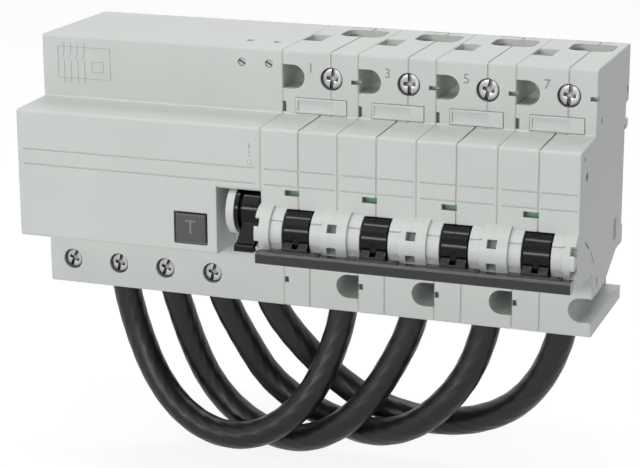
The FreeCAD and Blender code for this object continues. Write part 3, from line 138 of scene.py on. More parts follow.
def map_range(tree, value, low, high, to_low=0.0, to_high=1.0):
    made = add_node(tree, "ShaderNodeMapRange", {
        "Value": value, "From Min": low, "From Max": high, "To Min": to_low, "To Max": to_high})
    return made.outputs["Result"]


# The Mix node has one set of sockets for each kind of value. These are the ones for colours.
MIX_FACTOR, MIX_FIRST, MIX_SECOND, MIX_RESULT = 0, 6, 7, 2


def blend_colour(tree, factor, a, b):
    made = add_node(tree, "ShaderNodeMix", {MIX_FACTOR: factor, MIX_FIRST: a, MIX_SECOND: b},
                    data_type="RGBA", blend_type="MIX")
    return made.outputs[MIX_RESULT]


def linear(red, green, blue):
    """A colour as a paint chart gives it, from 0 to 255, as the linear light that shaders take."""
    def one(value):
        value /= 255.0
        return value / 12.92 if value <= 0.04045 else ((value + 0.055) / 1.055) ** 2.4
    return (one(red), one(green), one(blue), 1.0)


def scaled(colour, share, lift=0.0):
    """The colour times a share, plus a little white."""
    return tuple(min(1.0, c * share + lift) for c in colour[:3]) + (1.0,)


def start_finish(name):
    """A new material, its node tree and its surface shader."""
    finish = bpy.data.materials.new(name)
    finish.use_nodes = True
    return finish, finish.node_tree, finish.node_tree.nodes["Principled BSDF"]


def noise(tree, place, scale, detail, **more):
    sockets = {"Vector": place, "Scale": scale, "Detail": detail, **more}
    return add_node(tree, "ShaderNodeTexNoise", sockets).outputs["Fac"]


BUMP_DEPTH = 0.1 * MM


def add_bump(tree, surface, height, strength, normal=None):
    """Raise the surface by the height, on top of the given normal if there is one."""
    sockets = {"Height": height, "Strength": strength, "Distance": BUMP_DEPTH}
    if normal is not None:
        sockets["Normal"] = normal
    bump = add_node(tree, "ShaderNodeBump", sockets)
    tree.links.new(bump.outputs["Normal"], surface.inputs["Normal"])


print("node helpers ready")

# %% [markdown]
# ## Moulded plastic
# The housings are glass-filled plastic from an eroded mould: light grey, even, with a grain finer
# than a hair and a soft shine. The same steps serve every moulded part, so they are one function:
# a slow change of tone, a fine grain in the bump, corners that catch the light because they are
# rounded by a few tenths, edges lightened in the colour as wear and as a painted highlight, and
# painted shade where faces meet. The rounding is done in the shader, since the solids have
# hundreds of small edges and none of them needs new geometry.

# %% A finish for moulded plastic
GRAIN_SCALE = 900.0
TONE_SCALE = 22.0


def moulded_plastic(name, colour, roughness, grain=0.05, rounding=0.35, painted_shade=0.25, lightened=0.10,
                    specular=0.5, depth=1.6):
    """Rounding is the radius of an edge and depth how far the painted shade in corners reaches, both in
    millimetres.
    """
    finish, tree, surface = start_finish(name)
    surface.inputs["Specular IOR Level"].default_value = specular
    place = add_node(tree, "ShaderNodeTexCoord").outputs["Object"]
    slow = noise(tree, place, TONE_SCALE, 3.0)
    fine = noise(tree, place, GRAIN_SCALE, 4.0, Roughness=0.65)
    tone = map_range(tree, slow, 0.3, 0.7)
    base = blend_colour(tree, tone, colour, scaled(colour, 0.94))
    corner = add_node(tree, "ShaderNodeBevel", {"Radius": rounding * MM}, samples=6)
    flat = add_node(tree, "ShaderNodeNewGeometry")
    match = add_node(tree, "ShaderNodeVectorMath",
                     {0: corner.outputs["Normal"], 1: flat.outputs["True Normal"]},
                     operation="DOT_PRODUCT")
    # The edges are lightened in the colour, partly as wear and partly as a painted highlight where the
    # rounded corners catch the light.
    edge = map_range(tree, match.outputs["Value"], 0.995, 0.80)
    worn_and_highlit_edge = calculate(tree, "MULTIPLY", edge, map_range(tree, fine, 0.35, 0.6, 0.4, 1.0))
    wear_and_edge_highlight = calculate(tree, "MULTIPLY", worn_and_highlit_edge, lightened * 4.0, clamp=True)
    base = blend_colour(tree, wear_and_edge_highlight, base, scaled(colour, 1.25, 0.01))
    # Painted shade: the colour darkens where faces meet and in hollows, as far as the ambient occlusion
    # reaches.
    hollow = add_node(tree, "ShaderNodeAmbientOcclusion", {"Distance": depth * MM}, samples=8)
    painted_shade_mask = calculate(tree, "MULTIPLY", map_range(tree, hollow.outputs["AO"], 0.6, 0.1), painted_shade,
                      clamp=True)
    base = blend_colour(tree, painted_shade_mask, base, scaled(colour, 0.35))
    tree.links.new(base, surface.inputs["Base Color"])
    shine = map_range(tree, fine, 0.3, 0.7, roughness - 0.05, roughness + 0.06)
    tree.links.new(shine, surface.inputs["Roughness"])
    add_bump(tree, surface, fine, grain, corner.outputs["Normal"])
    return finish


housing_grey = moulded_plastic("housing_grey", linear(207, 211, 207), 0.46, painted_shade=0.5, depth=5.0)
handle_black = moulded_plastic("handle_black", linear(7, 7, 8), 0.14, grain=0.0, painted_shade=0.15,
                               lightened=0.02, specular=0.22)
bar_grey = moulded_plastic("bar_grey", linear(46, 46, 48), 0.17, grain=0.0, rounding=0.12,
                           painted_shade=0.15, lightened=0.03, specular=0.4)
button_grey = moulded_plastic("button_grey", linear(78, 76, 78), 0.42)
strip_clear = moulded_plastic("strip_clear", linear(212, 217, 214), 0.16, grain=0.01, painted_shade=0.08,
                              lightened=0.0)
relay_black = moulded_plastic("relay_black", linear(38, 38, 40), 0.5)
board_green = moulded_plastic("board_green", linear(52, 104, 66), 0.35)
print("moulded finishes:", [m.name for m in bpy.data.materials if m.use_nodes][:8])

# %% [markdown]
# ## Metals
# Screws, clamps and plates are steel with a thin nickel coat, a little darker than chrome. The
# conductors are bare copper, dulled by handling. Both get fine turning lines from a stretched
# noise, and a slow change in shine where fingers and tools have touched them. Slots and corners
# are darkened with painted shade.

# %% Finishes for metal
TURNED_STRETCH = (1.0, 14.0, 1.0)
TURNED_STRENGTH = 0.05
STAIN = 0.15


def plated_metal(name, colour, roughness):
    finish, tree, surface = start_finish(name)
    surface.inputs["Metallic"].default_value = 1.0
    place = add_node(tree, "ShaderNodeTexCoord").outputs["Object"]
    turned = add_node(tree, "ShaderNodeMapping", {"Vector": place, "Scale": TURNED_STRETCH})
    marks = noise(tree, turned.outputs["Vector"], 700.0, 5.0)
    cloud = noise(tree, place, 160.0, 3.0)
    amount = calculate(tree, "MULTIPLY", map_range(tree, cloud, 0.45, 0.7), STAIN, clamp=True)
    base = blend_colour(tree, amount, colour, scaled(colour, 0.6))
    # Painted shade: slots and corners are darkened in the colour, as the ambient occlusion finds them.
    hollow = add_node(tree, "ShaderNodeAmbientOcclusion", {"Distance": 1.4 * MM}, samples=8)
    painted_slot_shade = map_range(tree, hollow.outputs["AO"], 0.92, 0.5)
    base = blend_colour(tree, painted_slot_shade, base, scaled(colour, 0.12))
    tree.links.new(base, surface.inputs["Base Color"])
    shine = map_range(tree, cloud, 0.3, 0.7, roughness - 0.06, roughness + 0.12)
    tree.links.new(shine, surface.inputs["Roughness"])
    corner = add_node(tree, "ShaderNodeBevel", {"Radius": 0.15 * MM}, samples=4)
    add_bump(tree, surface, marks, TURNED_STRENGTH, corner.outputs["Normal"])
    return finish


nickel_plate = plated_metal("nickel_plate", linear(176, 177, 176), 0.28)
bare_copper = plated_metal("bare_copper", linear(206, 136, 100), 0.32)
varnished_core = plated_metal("varnished_core", linear(96, 96, 102), 0.45)
print("metal finishes ready")

# %% [markdown]
# ## The contact flags
# Behind each window rides a flag on the contact arm. It is copper where it carries current and has a
# green cap where the window shows it, with a painted highlight along its upper lip. One material
# does both, and the height and depth of a point on the arm decide which is which.

# %% The two-colour arm
CAP_BACK = nose_front + 6.0 * MM
# Heights on the cap between which the painted highlight fades in.
PAINTED_HIGHLIGHT_LOW = 1.2 * MM
PAINTED_HIGHLIGHT_HIGH = 1.9 * MM


def flagged_copper():
    finish, tree, surface = start_finish("flagged_copper")
    place = add_node(tree, "ShaderNodeTexCoord").outputs["Object"]
    depth = add_node(tree, "ShaderNodeSeparateXYZ", {"Vector": place})
    cap = calculate(tree, "LESS_THAN", depth.outputs["Y"], CAP_BACK)
    cloud = noise(tree, place, 300.0, 3.0)
    copper = blend_colour(tree, cloud, linear(206, 136, 100), linear(150, 96, 72))
    # Painted highlight: the green turns lighter towards the upper lip of the cap, where it faces the
    # light.
    painted_highlight = map_range(tree, depth.outputs["Z"], PAINTED_HIGHLIGHT_LOW, PAINTED_HIGHLIGHT_HIGH)
    green = blend_colour(tree, painted_highlight, linear(88, 134, 104), linear(150, 176, 160))
    tree.links.new(blend_colour(tree, cap, copper, green), surface.inputs["Base Color"])
    tree.links.new(calculate(tree, "SUBTRACT", 1.0, cap), surface.inputs["Metallic"])
    tree.links.new(map_range(tree, cloud, 0.3, 0.7, 0.3, 0.45), surface.inputs["Roughness"])
    return finish


arm_finish = flagged_copper()
print("flag caps are green in front of", round(CAP_BACK / MM, 1), "mm")

# %% [markdown]
# ## Finishing the solids
# Each solid keeps its mesh and only its material slots change. A table from the start of a name to
# a finish is enough, because the names already say what a solid is.

# %% Give each solid its finish
SOLID_FINISHES = (
    ("tie_bar", bar_grey), ("trip_shaft", relay_black), ("label_strips", strip_clear),
    ("fixed_contacts", bare_copper), ("load_terminals", nickel_plate), ("arc_chutes", nickel_plate),
    ("magnet_coils", bare_copper), ("bimetal_strips", bare_copper), ("case_rivets", nickel_plate),
    ("rc_base", housing_grey), ("rc_cover", housing_grey), ("rc_handle", handle_black),
    ("rc_test_button", button_grey), ("rc_test_spring", nickel_plate), ("rc_load_screw", nickel_plate),
    ("rc_load_boxes", nickel_plate), ("rc_primary_bars", bare_copper),
    ("rc_sensing_core", varnished_core),
    ("rc_sensing_winding", bare_copper), ("rc_circuit_board", board_green),
    ("rc_trip_relay", relay_black),
    ("rc_aux_screws", nickel_plate), ("rc_rail_slider", housing_grey), ("lead_grommets", relay_black),
)
POLE_FINISHES = (
    ("case_left", housing_grey), ("case_right", housing_grey), ("toggle", handle_black),
    ("contact_arm", arm_finish), ("supply_screw", nickel_plate), ("supply_clamp", nickel_plate),
    ("rail_slider", housing_grey),
)


def finish_for(name):
    for start, finish in SOLID_FINISHES:
        if name.startswith(start):
            return finish
    for end, finish in POLE_FINISHES:
        if name.endswith(end):
            return finish
    return None


finished = 0
for name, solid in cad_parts.items():
    finish = finish_for(name)
    if finish is not None:
        solid.data.materials.clear()
        solid.data.materials.append(finish)
        finished += 1
print(finished, "solids finished")

# %% [markdown]
# ## Geometry Nodes, made and baked
# Repeated shapes are grown by Geometry Nodes and then baked to plain meshes, because an exported
# model can't carry a live tree. One helper starts a tree with named inputs, and another runs it on
# an object, keeps the result as a plain mesh and throws the modifier away.

# %% Start a tree and bake a tree
def start_tree(name, **inputs):
    """A tree with inputs name=(socket kind, first value), its input node and its sockets."""
    tree = bpy.data.node_groups.new(name, "GeometryNodeTree")
    shape = "NodeSocketGeometry"
    sockets = {"Geometry": tree.interface.new_socket("Geometry", in_out="INPUT", socket_type=shape)}
    tree.interface.new_socket("Geometry", in_out="OUTPUT", socket_type=shape)
    for key, (kind, first) in inputs.items():
        made = tree.interface.new_socket(key, in_out="INPUT", socket_type="NodeSocket" + kind)
        if first is not None:
            made.default_value = first
        sockets[key] = made
    return tree, tree.nodes.new("NodeGroupInput"), sockets


def end_tree(tree, geometry, material):
    """Realize what was instanced, set its material and hand it to the tree's output."""
    real = add_node(tree, "GeometryNodeRealizeInstances", {"Geometry": geometry})
    painted = add_node(tree, "GeometryNodeSetMaterial",
                       {"Geometry": real.outputs[0], "Material": material})
    out = tree.nodes.new("NodeGroupOutput")
    tree.links.new(painted.outputs[0], out.inputs[0])


def bake(name, tree, sockets, mesh=None, bevel=0.0, smooth_angle=35.0, **values):
    """Run the tree with the given inputs and return its result as a plain object at the origin."""
    start = place_object(name + "_start", mesh or bpy.data.meshes.new(name + "_start"))
    grow = start.modifiers.new("grow", "NODES")
    grow.node_group = tree
    for key, value in values.items():
        grow[sockets[key].identifier] = value
    if bevel:
        round_off = start.modifiers.new("round_off", "BEVEL")
        round_off.width = bevel
        round_off.segments = 2
        round_off.limit_method = "ANGLE"
        round_off.angle_limit = math.radians(40.0)
    start.update_tag()
    graph = bpy.context.evaluated_depsgraph_get()
    baked = bpy.data.meshes.new_from_object(start.evaluated_get(graph))
    baked.name = name
    bpy.data.objects.remove(start)
    piece = place_object(name, baked)
    smooth_by_angle(baked, smooth_angle)
    return piece


def smooth_by_angle(mesh, angle):
    """Shade smoothly, but keep every edge that folds by more than the angle crisp."""
    shape = bmesh.new()
    shape.from_mesh(mesh)
    limit = math.radians(angle)
    for face in shape.faces:
        face.smooth = True
    for edge in shape.edges:
        edge.smooth = len(edge.link_faces) == 2 and edge.calc_face_angle(0.0) < limit
    shape.to_mesh(mesh)
    shape.free()


print("tree helpers ready")

# %% [markdown]
# ## The leads
# Four stranded leads join the unit to the poles. Each is one length of stiff wire in a thick black
# jacket, so it leaves its hole straight, leans over and sweeps round in one curve. A spline through
# a few points gives that curve, and it never shows a corner. The jacket is then grown along it, with
# the faint twisted ridges that the strands press into it.

# %% Where the leads run
LEAD_R = 5.2 * MM
LEAD_ROUTES = {
    "lead_1": [(-87.7, -8.0, -41.0), (-87.7, -8.0, -50.0), (-85.6, -7.9, -62.0), (-81.3, -8.6, -75.5),
               (-74.3, -11.0, -88.8), (-63.6, -14.5, -99.8), (-49.0, -18.0, -106.4),
               (-32.6, -20.0, -106.0), (-18.4, -19.5, -98.1), (-8.6, -17.0, -86.2), (-3.2, -13.7, -73.4),
               (0.2, -10.9, -60.5), (1.25, -10.1, -50.5), (1.25, -10.1, -42.3)],
    "lead_2": [(-68.6, -8.0, -41.0), (-68.6, -8.0, -49.5), (-66.2, -5.8, -61.5), (-62.6, -3.0, -77.0),
               (-57.0, -0.9, -91.6), (-47.1, -0.7, -103.2), (-31.5, -4.2, -109.8), (-13.2, -12.3, -107.4),
               (2.8, -16.0, -97.9), (13.5, -15.0, -85.8), (20.8, -12.8, -73.0), (26.4, -11.0, -60.5),
               (28.25, -10.1, -50.5), (28.25, -10.1, -42.3)],
    "lead_3": [(-49.5, -8.0, -41.0), (-49.5, -8.0, -49.5), (-46.8, -6.4, -60.0), (-40.5, -2.7, -74.6),
               (-33.5, 0.8, -88.6), (-22.1, 2.0, -97.9), (-6.6, 0.7, -103.0), (11.2, -7.8, -103.4),
               (28.6, -14.3, -96.3), (41.2, -14.8, -85.0), (49.2, -12.8, -73.0), (53.4, -11.0, -60.5),
               (55.25, -10.1, -50.5), (55.25, -10.1, -42.3)],
    "lead_4": [(-30.4, -8.0, -41.0), (-30.4, -8.0, -49.5), (-27.5, -6.5, -59.8), (-19.4, -2.5, -72.8),
               (-9.0, 1.3, -84.7), (2.6, 2.5, -93.0), (16.7, 2.7, -98.0), (31.9, 2.5, -99.6),
               (47.7, 1.0, -96.8), (62.9, -3.0, -88.4), (74.0, -7.6, -75.0), (80.3, -10.0, -60.5),
               (82.25, -10.1, -50.5), (82.25, -10.1, -42.3)],
}


def lead_line(name, points):
    line = bpy.data.curves.new(name + "_line", "CURVE")
    line.dimensions = "3D"
    line.resolution_u = 24
    spline = line.splines.new("NURBS")
    spline.points.add(len(points) - 1)
    for control, point in zip(spline.points, points):
        control.co = (*(Vector(point) * MM), 1.0)
    spline.order_u = 3
    spline.use_endpoint_u = True
    return place_object(name + "_line", line)


lead_lines = {name: lead_line(name, points) for name, points in LEAD_ROUTES.items()}
print("lead routes:", {name: len(points) for name, points in LEAD_ROUTES.items()})

# %% [markdown]
# A jacket is a profile carried along a line, which is what Curve to Mesh does. The profile here is
# a circle with shallow lobes, one for each strand, and tilting it steadily along the line makes the
# lobes wind round the lead as the strands do.

# %% Grow the jackets
def jacket_tree(material):
    tree, given, sockets = start_tree(
        "lead_jacket", Line=("Object", None), Radius=("Float", LEAD_R), Strands=("Int", 9),
        Ridge=("Float", 0.09 * MM), Lay=("Float", 70.0 * MM), Facets=("Int", 54),
        Step=("Float", 1.4 * MM))
    take = add_node(tree, "GeometryNodeObjectInfo", {"Object": given.outputs["Line"]},
                    transform_space="ORIGINAL")
    even = add_node(tree, "GeometryNodeResampleCurve", {"Curve": take.outputs["Geometry"],
                                                        "Length": given.outputs["Step"]}, mode="LENGTH")
    along = add_node(tree, "GeometryNodeSplineParameter")
    turns = calculate(tree, "DIVIDE", along.outputs["Length"], given.outputs["Lay"])
    tilt = calculate(tree, "MULTIPLY", turns, math.tau)
    tilted = add_node(tree, "GeometryNodeSetCurveTilt", {"Curve": even.outputs[0], "Tilt": tilt})
    inner = calculate(tree, "SUBTRACT", given.outputs["Radius"], given.outputs["Ridge"])
    circle = add_node(tree, "GeometryNodeCurvePrimitiveCircle", {"Resolution": given.outputs["Facets"],
                                                                 "Radius": inner}, mode="RADIUS")
    order = add_node(tree, "GeometryNodeInputIndex")
    share = calculate(tree, "DIVIDE", order.outputs[0], given.outputs["Facets"])
    angle = calculate(tree, "MULTIPLY", share, math.tau)
    lobe = calculate(tree, "COSINE", calculate(tree, "MULTIPLY", angle, given.outputs["Strands"]))
    raised = calculate(tree, "MULTIPLY", lobe, given.outputs["Ridge"])
    swell = calculate(tree, "MULTIPLY", raised, 0.5)
    point = add_node(tree, "GeometryNodeInputPosition")
    outward = add_node(tree, "ShaderNodeVectorMath", {0: point.outputs[0]}, operation="NORMALIZE")
    push = add_node(tree, "ShaderNodeVectorMath", {0: outward.outputs[0], "Scale": swell},
                    operation="SCALE")
    profile = add_node(tree, "GeometryNodeSetPosition",
                       {"Geometry": circle.outputs[0], "Offset": push.outputs[0]})
    skin = add_node(tree, "GeometryNodeCurveToMesh", {
        "Curve": tilted.outputs[0], "Profile Curve": profile.outputs[0], "Fill Caps": True})
    end_tree(tree, skin.outputs[0], material)
    return tree, sockets


def lead_rubber():
    finish, tree, surface = start_finish("lead_rubber")
    surface.inputs["Specular IOR Level"].default_value = 0.35
    place = add_node(tree, "ShaderNodeTexCoord").outputs["Object"]
    fine = noise(tree, place, 1100.0, 5.0)
    scuff = noise(tree, place, 90.0, 6.0, Roughness=0.7)
    lightened = map_range(tree, scuff, 0.55, 0.72, 0.0, 0.35)
    tone = blend_colour(tree, lightened, linear(26, 26, 27), linear(50, 49, 50))
    tree.links.new(tone, surface.inputs["Base Color"])
    tree.links.new(map_range(tree, scuff, 0.3, 0.7, 0.30, 0.42), surface.inputs["Roughness"])
    add_bump(tree, surface, fine, 0.08)
    return finish


jackets, jacket_sockets = jacket_tree(lead_rubber())
for name, line in lead_lines.items():
    graph = bpy.context.evaluated_depsgraph_get()
    traced = bpy.data.meshes.new_from_object(line.evaluated_get(graph))
    jacket = bake(name + "_jacket", jackets, jacket_sockets, smooth_angle=60.0, Line=line)
    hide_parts(name)
    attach(jacket, "case")
    bpy.data.objects.remove(line)

# %% [markdown]
# ## The screws
# Each terminal is closed by a nickel-plated screw whose head takes a flat driver or a cross driver.
# The head is a disc with a slot and a cross cut into it, and the shank carries a thread. A thread this
# small reads the same as a row of rings, so the tree lays rings along the shank, one pitch apart.
# Every screw is a body that turns on its own, so the tree runs once for each of them, with its place
# and its turn as inputs.

# %% The screw tree
SCREW_LEAN = 75.0
HEAD_HEIGHT = 2.6 * MM
HEAD_ROUNDING = 0.22 * MM
SLOT_SHARE = 0.34
SHANK_RADIUS = 2.0 * MM
THREAD_RIDGE = 0.2 * MM
# The cutters run past the head, so that they leave no skin at its rim or its face.
SLOT_REACH = 2.4
CROSS_REACH = 1.15
CUTTER_DEPTH = 2.0


def screw_tree(material):
    tree, given, sockets = start_tree(
        "terminal_screw", HeadRadius=("Float", 3.5 * MM), HeadHeight=("Float", 2.6 * MM),
        SlotWidth=("Float", 0.95 * MM), SlotDepth=("Float", 1.1 * MM), ShankRadius=("Float", 1.8 * MM),
        ShankLength=("Float", 20.0 * MM), Pitch=("Float", 0.8 * MM), Turn=("Float", 0.0),
        Place=("Vector", None))
    head = add_node(tree, "GeometryNodeMeshCylinder", {
        "Vertices": 48, "Radius": given.outputs["HeadRadius"], "Depth": given.outputs["HeadHeight"]})
    half = calculate(tree, "MULTIPLY", given.outputs["HeadHeight"], -0.5)
    sunk = add_node(tree, "ShaderNodeCombineXYZ", {"Z": half})
    head = add_node(tree, "GeometryNodeTransform",
                    {"Geometry": head.outputs["Mesh"], "Translation": sunk.outputs[0]})
    across = calculate(tree, "MULTIPLY", given.outputs["HeadRadius"], SLOT_REACH)
    arm = calculate(tree, "MULTIPLY", given.outputs["HeadRadius"], CROSS_REACH)
    deep = calculate(tree, "MULTIPLY", given.outputs["SlotDepth"], CUTTER_DEPTH)
    wide = given.outputs["SlotWidth"]
    slot_size = add_node(tree, "ShaderNodeCombineXYZ", {"X": across, "Y": wide, "Z": deep})
    arm_size = add_node(tree, "ShaderNodeCombineXYZ", {"X": wide, "Y": arm, "Z": deep})
    slot = add_node(tree, "GeometryNodeMeshCube", {"Size": slot_size.outputs[0]})
    cross = add_node(tree, "GeometryNodeMeshCube", {"Size": arm_size.outputs[0]})
    slit = add_node(tree, "GeometryNodeMeshBoolean",
                    {"Mesh 1": head.outputs[0], "Mesh 2": slot.outputs["Mesh"]},
                    operation="DIFFERENCE", solver="EXACT")
    cut = add_node(tree, "GeometryNodeMeshBoolean",
                   {"Mesh 1": slit.outputs[0], "Mesh 2": cross.outputs["Mesh"]},
                   operation="DIFFERENCE", solver="EXACT")
    shank = add_node(tree, "GeometryNodeMeshCylinder", {
        "Vertices": 32, "Radius": given.outputs["ShankRadius"], "Depth": given.outputs["ShankLength"]})
    half_shank = calculate(tree, "MULTIPLY", given.outputs["ShankLength"], 0.5)
    reach = calculate(tree, "ADD", given.outputs["HeadHeight"], half_shank)
    low = add_node(tree, "ShaderNodeCombineXYZ", {"Z": calculate(tree, "MULTIPLY", reach, -1.0)})
    shank = add_node(tree, "GeometryNodeTransform",
                     {"Geometry": shank.outputs["Mesh"], "Translation": low.outputs[0]})
    ring_line = add_node(tree, "GeometryNodeCurvePrimitiveCircle",
                         {"Resolution": 32, "Radius": given.outputs["ShankRadius"]})
    ridge = add_node(tree, "GeometryNodeCurvePrimitiveCircle", {"Resolution": 6, "Radius": THREAD_RIDGE})
    ring = add_node(tree, "GeometryNodeCurveToMesh", {"Curve": ring_line.outputs[0],
                                                      "Profile Curve": ridge.outputs[0]})
    count = calculate(tree, "FLOOR", calculate(tree, "DIVIDE", given.outputs["ShankLength"],
                                               given.outputs["Pitch"]))
    first = calculate(tree, "ADD", given.outputs["HeadHeight"], given.outputs["Pitch"])
    start = add_node(tree, "ShaderNodeCombineXYZ", {"Z": calculate(tree, "MULTIPLY", first, -1.0)})
    down = calculate(tree, "MULTIPLY", given.outputs["Pitch"], -1.0)
    step = add_node(tree, "ShaderNodeCombineXYZ", {"Z": down})
    row = add_node(tree, "GeometryNodeMeshLine", {"Count": calculate(tree, "SUBTRACT", count, 1.0),
                                                  "Start Location": start.outputs[0],
                                                  "Offset": step.outputs[0]}, mode="OFFSET")
    rings = add_node(tree, "GeometryNodeInstanceOnPoints",
                     {"Points": row.outputs[0], "Instance": ring.outputs[0]})
    whole = add_node(tree, "GeometryNodeJoinGeometry")
    for part in (cut, shank, rings):
        tree.links.new(part.outputs[0], whole.inputs[0])
    spin = add_node(tree, "ShaderNodeCombineXYZ", {"Z": given.outputs["Turn"]})
    spun = add_node(tree, "GeometryNodeTransform",
                    {"Geometry": whole.outputs[0], "Rotation": spin.outputs[0]})
    faced = add_node(tree, "GeometryNodeTransform", {"Geometry": spun.outputs[0],
                                                     "Rotation": (math.radians(90.0), 0.0, 0.0),
                                                     "Translation": given.outputs["Place"]})
    end_tree(tree, faced.outputs[0], material)
    return tree, sockets


screws, screw_sockets = screw_tree(nickel_plate)
print("screw tree has", len(screws.nodes), "nodes")

# %% Set a screw in every terminal
def set_screw(name, body, turn):
    low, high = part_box(name)
    head_radius = (high.x - low.x) / 2
    place = (low.x + head_radius, low.y, (low.z + high.z) / 2)
    made = bake(name + "_head", screws, screw_sockets, bevel=HEAD_ROUNDING, HeadRadius=head_radius,
                HeadHeight=HEAD_HEIGHT, SlotWidth=head_radius * SLOT_SHARE,
                ShankRadius=SHANK_RADIUS - THREAD_RIDGE, ShankLength=high.y - low.y - HEAD_HEIGHT,
                Turn=math.radians(turn), Place=place)
    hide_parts(name)
    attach(made, body)


for n in POLES:
    set_screw(f"pole{n}_supply_screw", f"supply_screw_{n}", SCREW_LEAN + 7.0 * (n % 3))
    set_screw(f"rc_load_screw_{n}", f"load_screw_{n}", SCREW_LEAN - 9.0 * (n % 2))
print("screws set:", 2 * len(POLES))

# %% [markdown]
# ## Printed marks
# Terminal numbers, the on and off strokes and a plain wiring sketch are pad-printed in grey ink. Ink
# has hardly any thickness, but giving it a few hundredths keeps it from flickering against the face.
# Figures start as text and become a mesh. Strokes are lines that a tree turns into flat ribbons.

# %% Ink and figures
INK_RISE = 0.03 * MM
FONT_SIZE_FOR_HEIGHT = 1.38
STAND_UP = Matrix.Rotation(math.radians(90.0), 4, "X")


def print_ink(name, colour):
    finish, tree, surface = start_finish(name)
    place = add_node(tree, "ShaderNodeTexCoord").outputs["Object"]
    patch = noise(tree, place, 2600.0, 3.0)
    thin = blend_colour(tree, map_range(tree, patch, 0.45, 0.7), colour, scaled(colour, 1.0, 0.10))
    tree.links.new(thin, surface.inputs["Base Color"])
    tree.links.new(map_range(tree, patch, 0.3, 0.7, 0.45, 0.6), surface.inputs["Roughness"])
    return finish


grey_ink = print_ink("grey_ink", linear(118, 122, 120))
pale_ink = print_ink("pale_ink", linear(128, 132, 130))


def printed_figure(name, text, height, centre, body, ink):
    """Text that stands on a face looking along -Y, as a thin mesh."""
    written = bpy.data.curves.new(name, "FONT")
    written.body = text
    written.size = height * FONT_SIZE_FOR_HEIGHT
    written.align_x = "CENTER"
    written.align_y = "CENTER"
    written.extrude = INK_RISE / 2
    written.resolution_u = 5
    source = place_object(name + "_text", written)
    graph = bpy.context.evaluated_depsgraph_get()
    shape = bpy.data.meshes.new_from_object(source.evaluated_get(graph))
    bpy.data.objects.remove(source)
    shape.transform(Matrix.Translation(centre) @ STAND_UP)
    shape.materials.clear()
    shape.materials.append(ink)
    made = place_object(name, shape)
    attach(made, body)


# Places of the figures in millimetres: from the left of a pole, and above the rail's middle.
DIGIT_INSET = 10.2
DIGIT_LEVEL = 39.0
for n in POLES:
    centre = Vector((pole_left[n] + DIGIT_INSET * MM, tier_front, DIGIT_LEVEL * MM))
    printed_figure(f"terminal_number_{n}", str(2 * n - 1), 3.4 * MM, centre, "case", pale_ink)
button_low, button_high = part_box("rc_test_button")
button_middle = Vector(((button_low.x + button_high.x) / 2, button_low.y,
                        (button_low.z + button_high.z) / 2))
printed_figure("button_letter", "T", 4.9 * MM, button_middle + Vector((0, 0, 0.2 * MM)), "button",
               grey_ink)
print("figures printed:", len(POLES) + 1)

# %% The ribbon tree for strokes
def ribbon_tree(material):
    tree, given, sockets = start_tree("ink_ribbon", Width=("Float", 0.3 * MM),
                                      Rise=("Float", INK_RISE))
    line = add_node(tree, "GeometryNodeMeshToCurve", {"Mesh": given.outputs["Geometry"]})
    band = add_node(tree, "GeometryNodeCurvePrimitiveQuadrilateral",
                    {"Width": given.outputs["Rise"], "Height": given.outputs["Width"]})
    up = add_node(tree, "GeometryNodeSetCurveNormal", {"Curve": line.outputs[0]}, mode="Z_UP")
    ribbon = add_node(tree, "GeometryNodeCurveToMesh", {
        "Curve": up.outputs[0], "Profile Curve": band.outputs[0], "Fill Caps": True})
    end_tree(tree, ribbon.outputs[0], material)
    return tree, sockets


grey_ribbons = ribbon_tree(grey_ink)
pale_ribbons = ribbon_tree(pale_ink)


def printed_strokes(name, strokes, width, face, body, printing=grey_ribbons):
    """Strokes (x, z, x, z) in millimetres on the plane y = face, as one flat mesh."""
    lines = bpy.data.meshes.new(name + "_lines")
    points = []
    for x0, z0, x1, z1 in strokes:
        points += [(x0 * MM, z0 * MM, 0.0), (x1 * MM, z1 * MM, 0.0)]
    lines.from_pydata(points, [(i, i + 1) for i in range(0, len(points), 2)], [])
    made = bake(name, *printing, mesh=lines, Width=width)
    made.data.transform(Matrix.Translation((0.0, face, 0.0)) @ STAND_UP)
    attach(made, body)


# The first figure is a bare upright in this face, so it gets the short stroke of a written one.
one_x = pole_left[1] / MM + DIGIT_INSET
printed_strokes("terminal_number_1_tick", [(one_x - 1.0, 39.6, one_x + 0.05, 40.6)], 0.3 * MM,
                tier_front, "case", pale_ribbons)

# %% Strokes on the unit
ON_X = unit_right / MM - 3.0
on_stroke = [(ON_X, 15.6, ON_X, 17.5), (ON_X, 14.2, ON_X, 15.0), (ON_X, 13.0, ON_X, 13.7)]
printed_strokes("on_mark", on_stroke, 0.45 * MM, nose_front, "case")
off_ring = [(ON_X - 0.7, 10.45, ON_X + 0.7, 10.45), (ON_X - 0.7, 11.85, ON_X + 0.7, 11.85),
            (ON_X - 0.7, 10.45, ON_X - 0.7, 11.85), (ON_X + 0.7, 10.45, ON_X + 0.7, 11.85)]
printed_strokes("off_mark", off_ring, 0.25 * MM, nose_front, "case")
DIAGRAM_LEFT = -93.0
DIAGRAM_WIDTH = 20.0
DIAGRAM_LOW = 28.0
DIAGRAM_HIGH = 41.0
diagram_right = DIAGRAM_LEFT + DIAGRAM_WIDTH
sketch = [(DIAGRAM_LEFT, DIAGRAM_LOW + 2.0, diagram_right, DIAGRAM_LOW + 2.0),
          (DIAGRAM_LEFT, DIAGRAM_HIGH, diagram_right, DIAGRAM_HIGH),
          (DIAGRAM_LEFT, DIAGRAM_LOW + 2.0, DIAGRAM_LEFT, DIAGRAM_HIGH),
          (diagram_right, DIAGRAM_LOW + 2.0, diagram_right, DIAGRAM_HIGH)]
relay_left = diagram_right - 7.0
relay_right = diagram_right - 2.5
relay_low = DIAGRAM_LOW + 4.5
relay_high = relay_low + 3.6
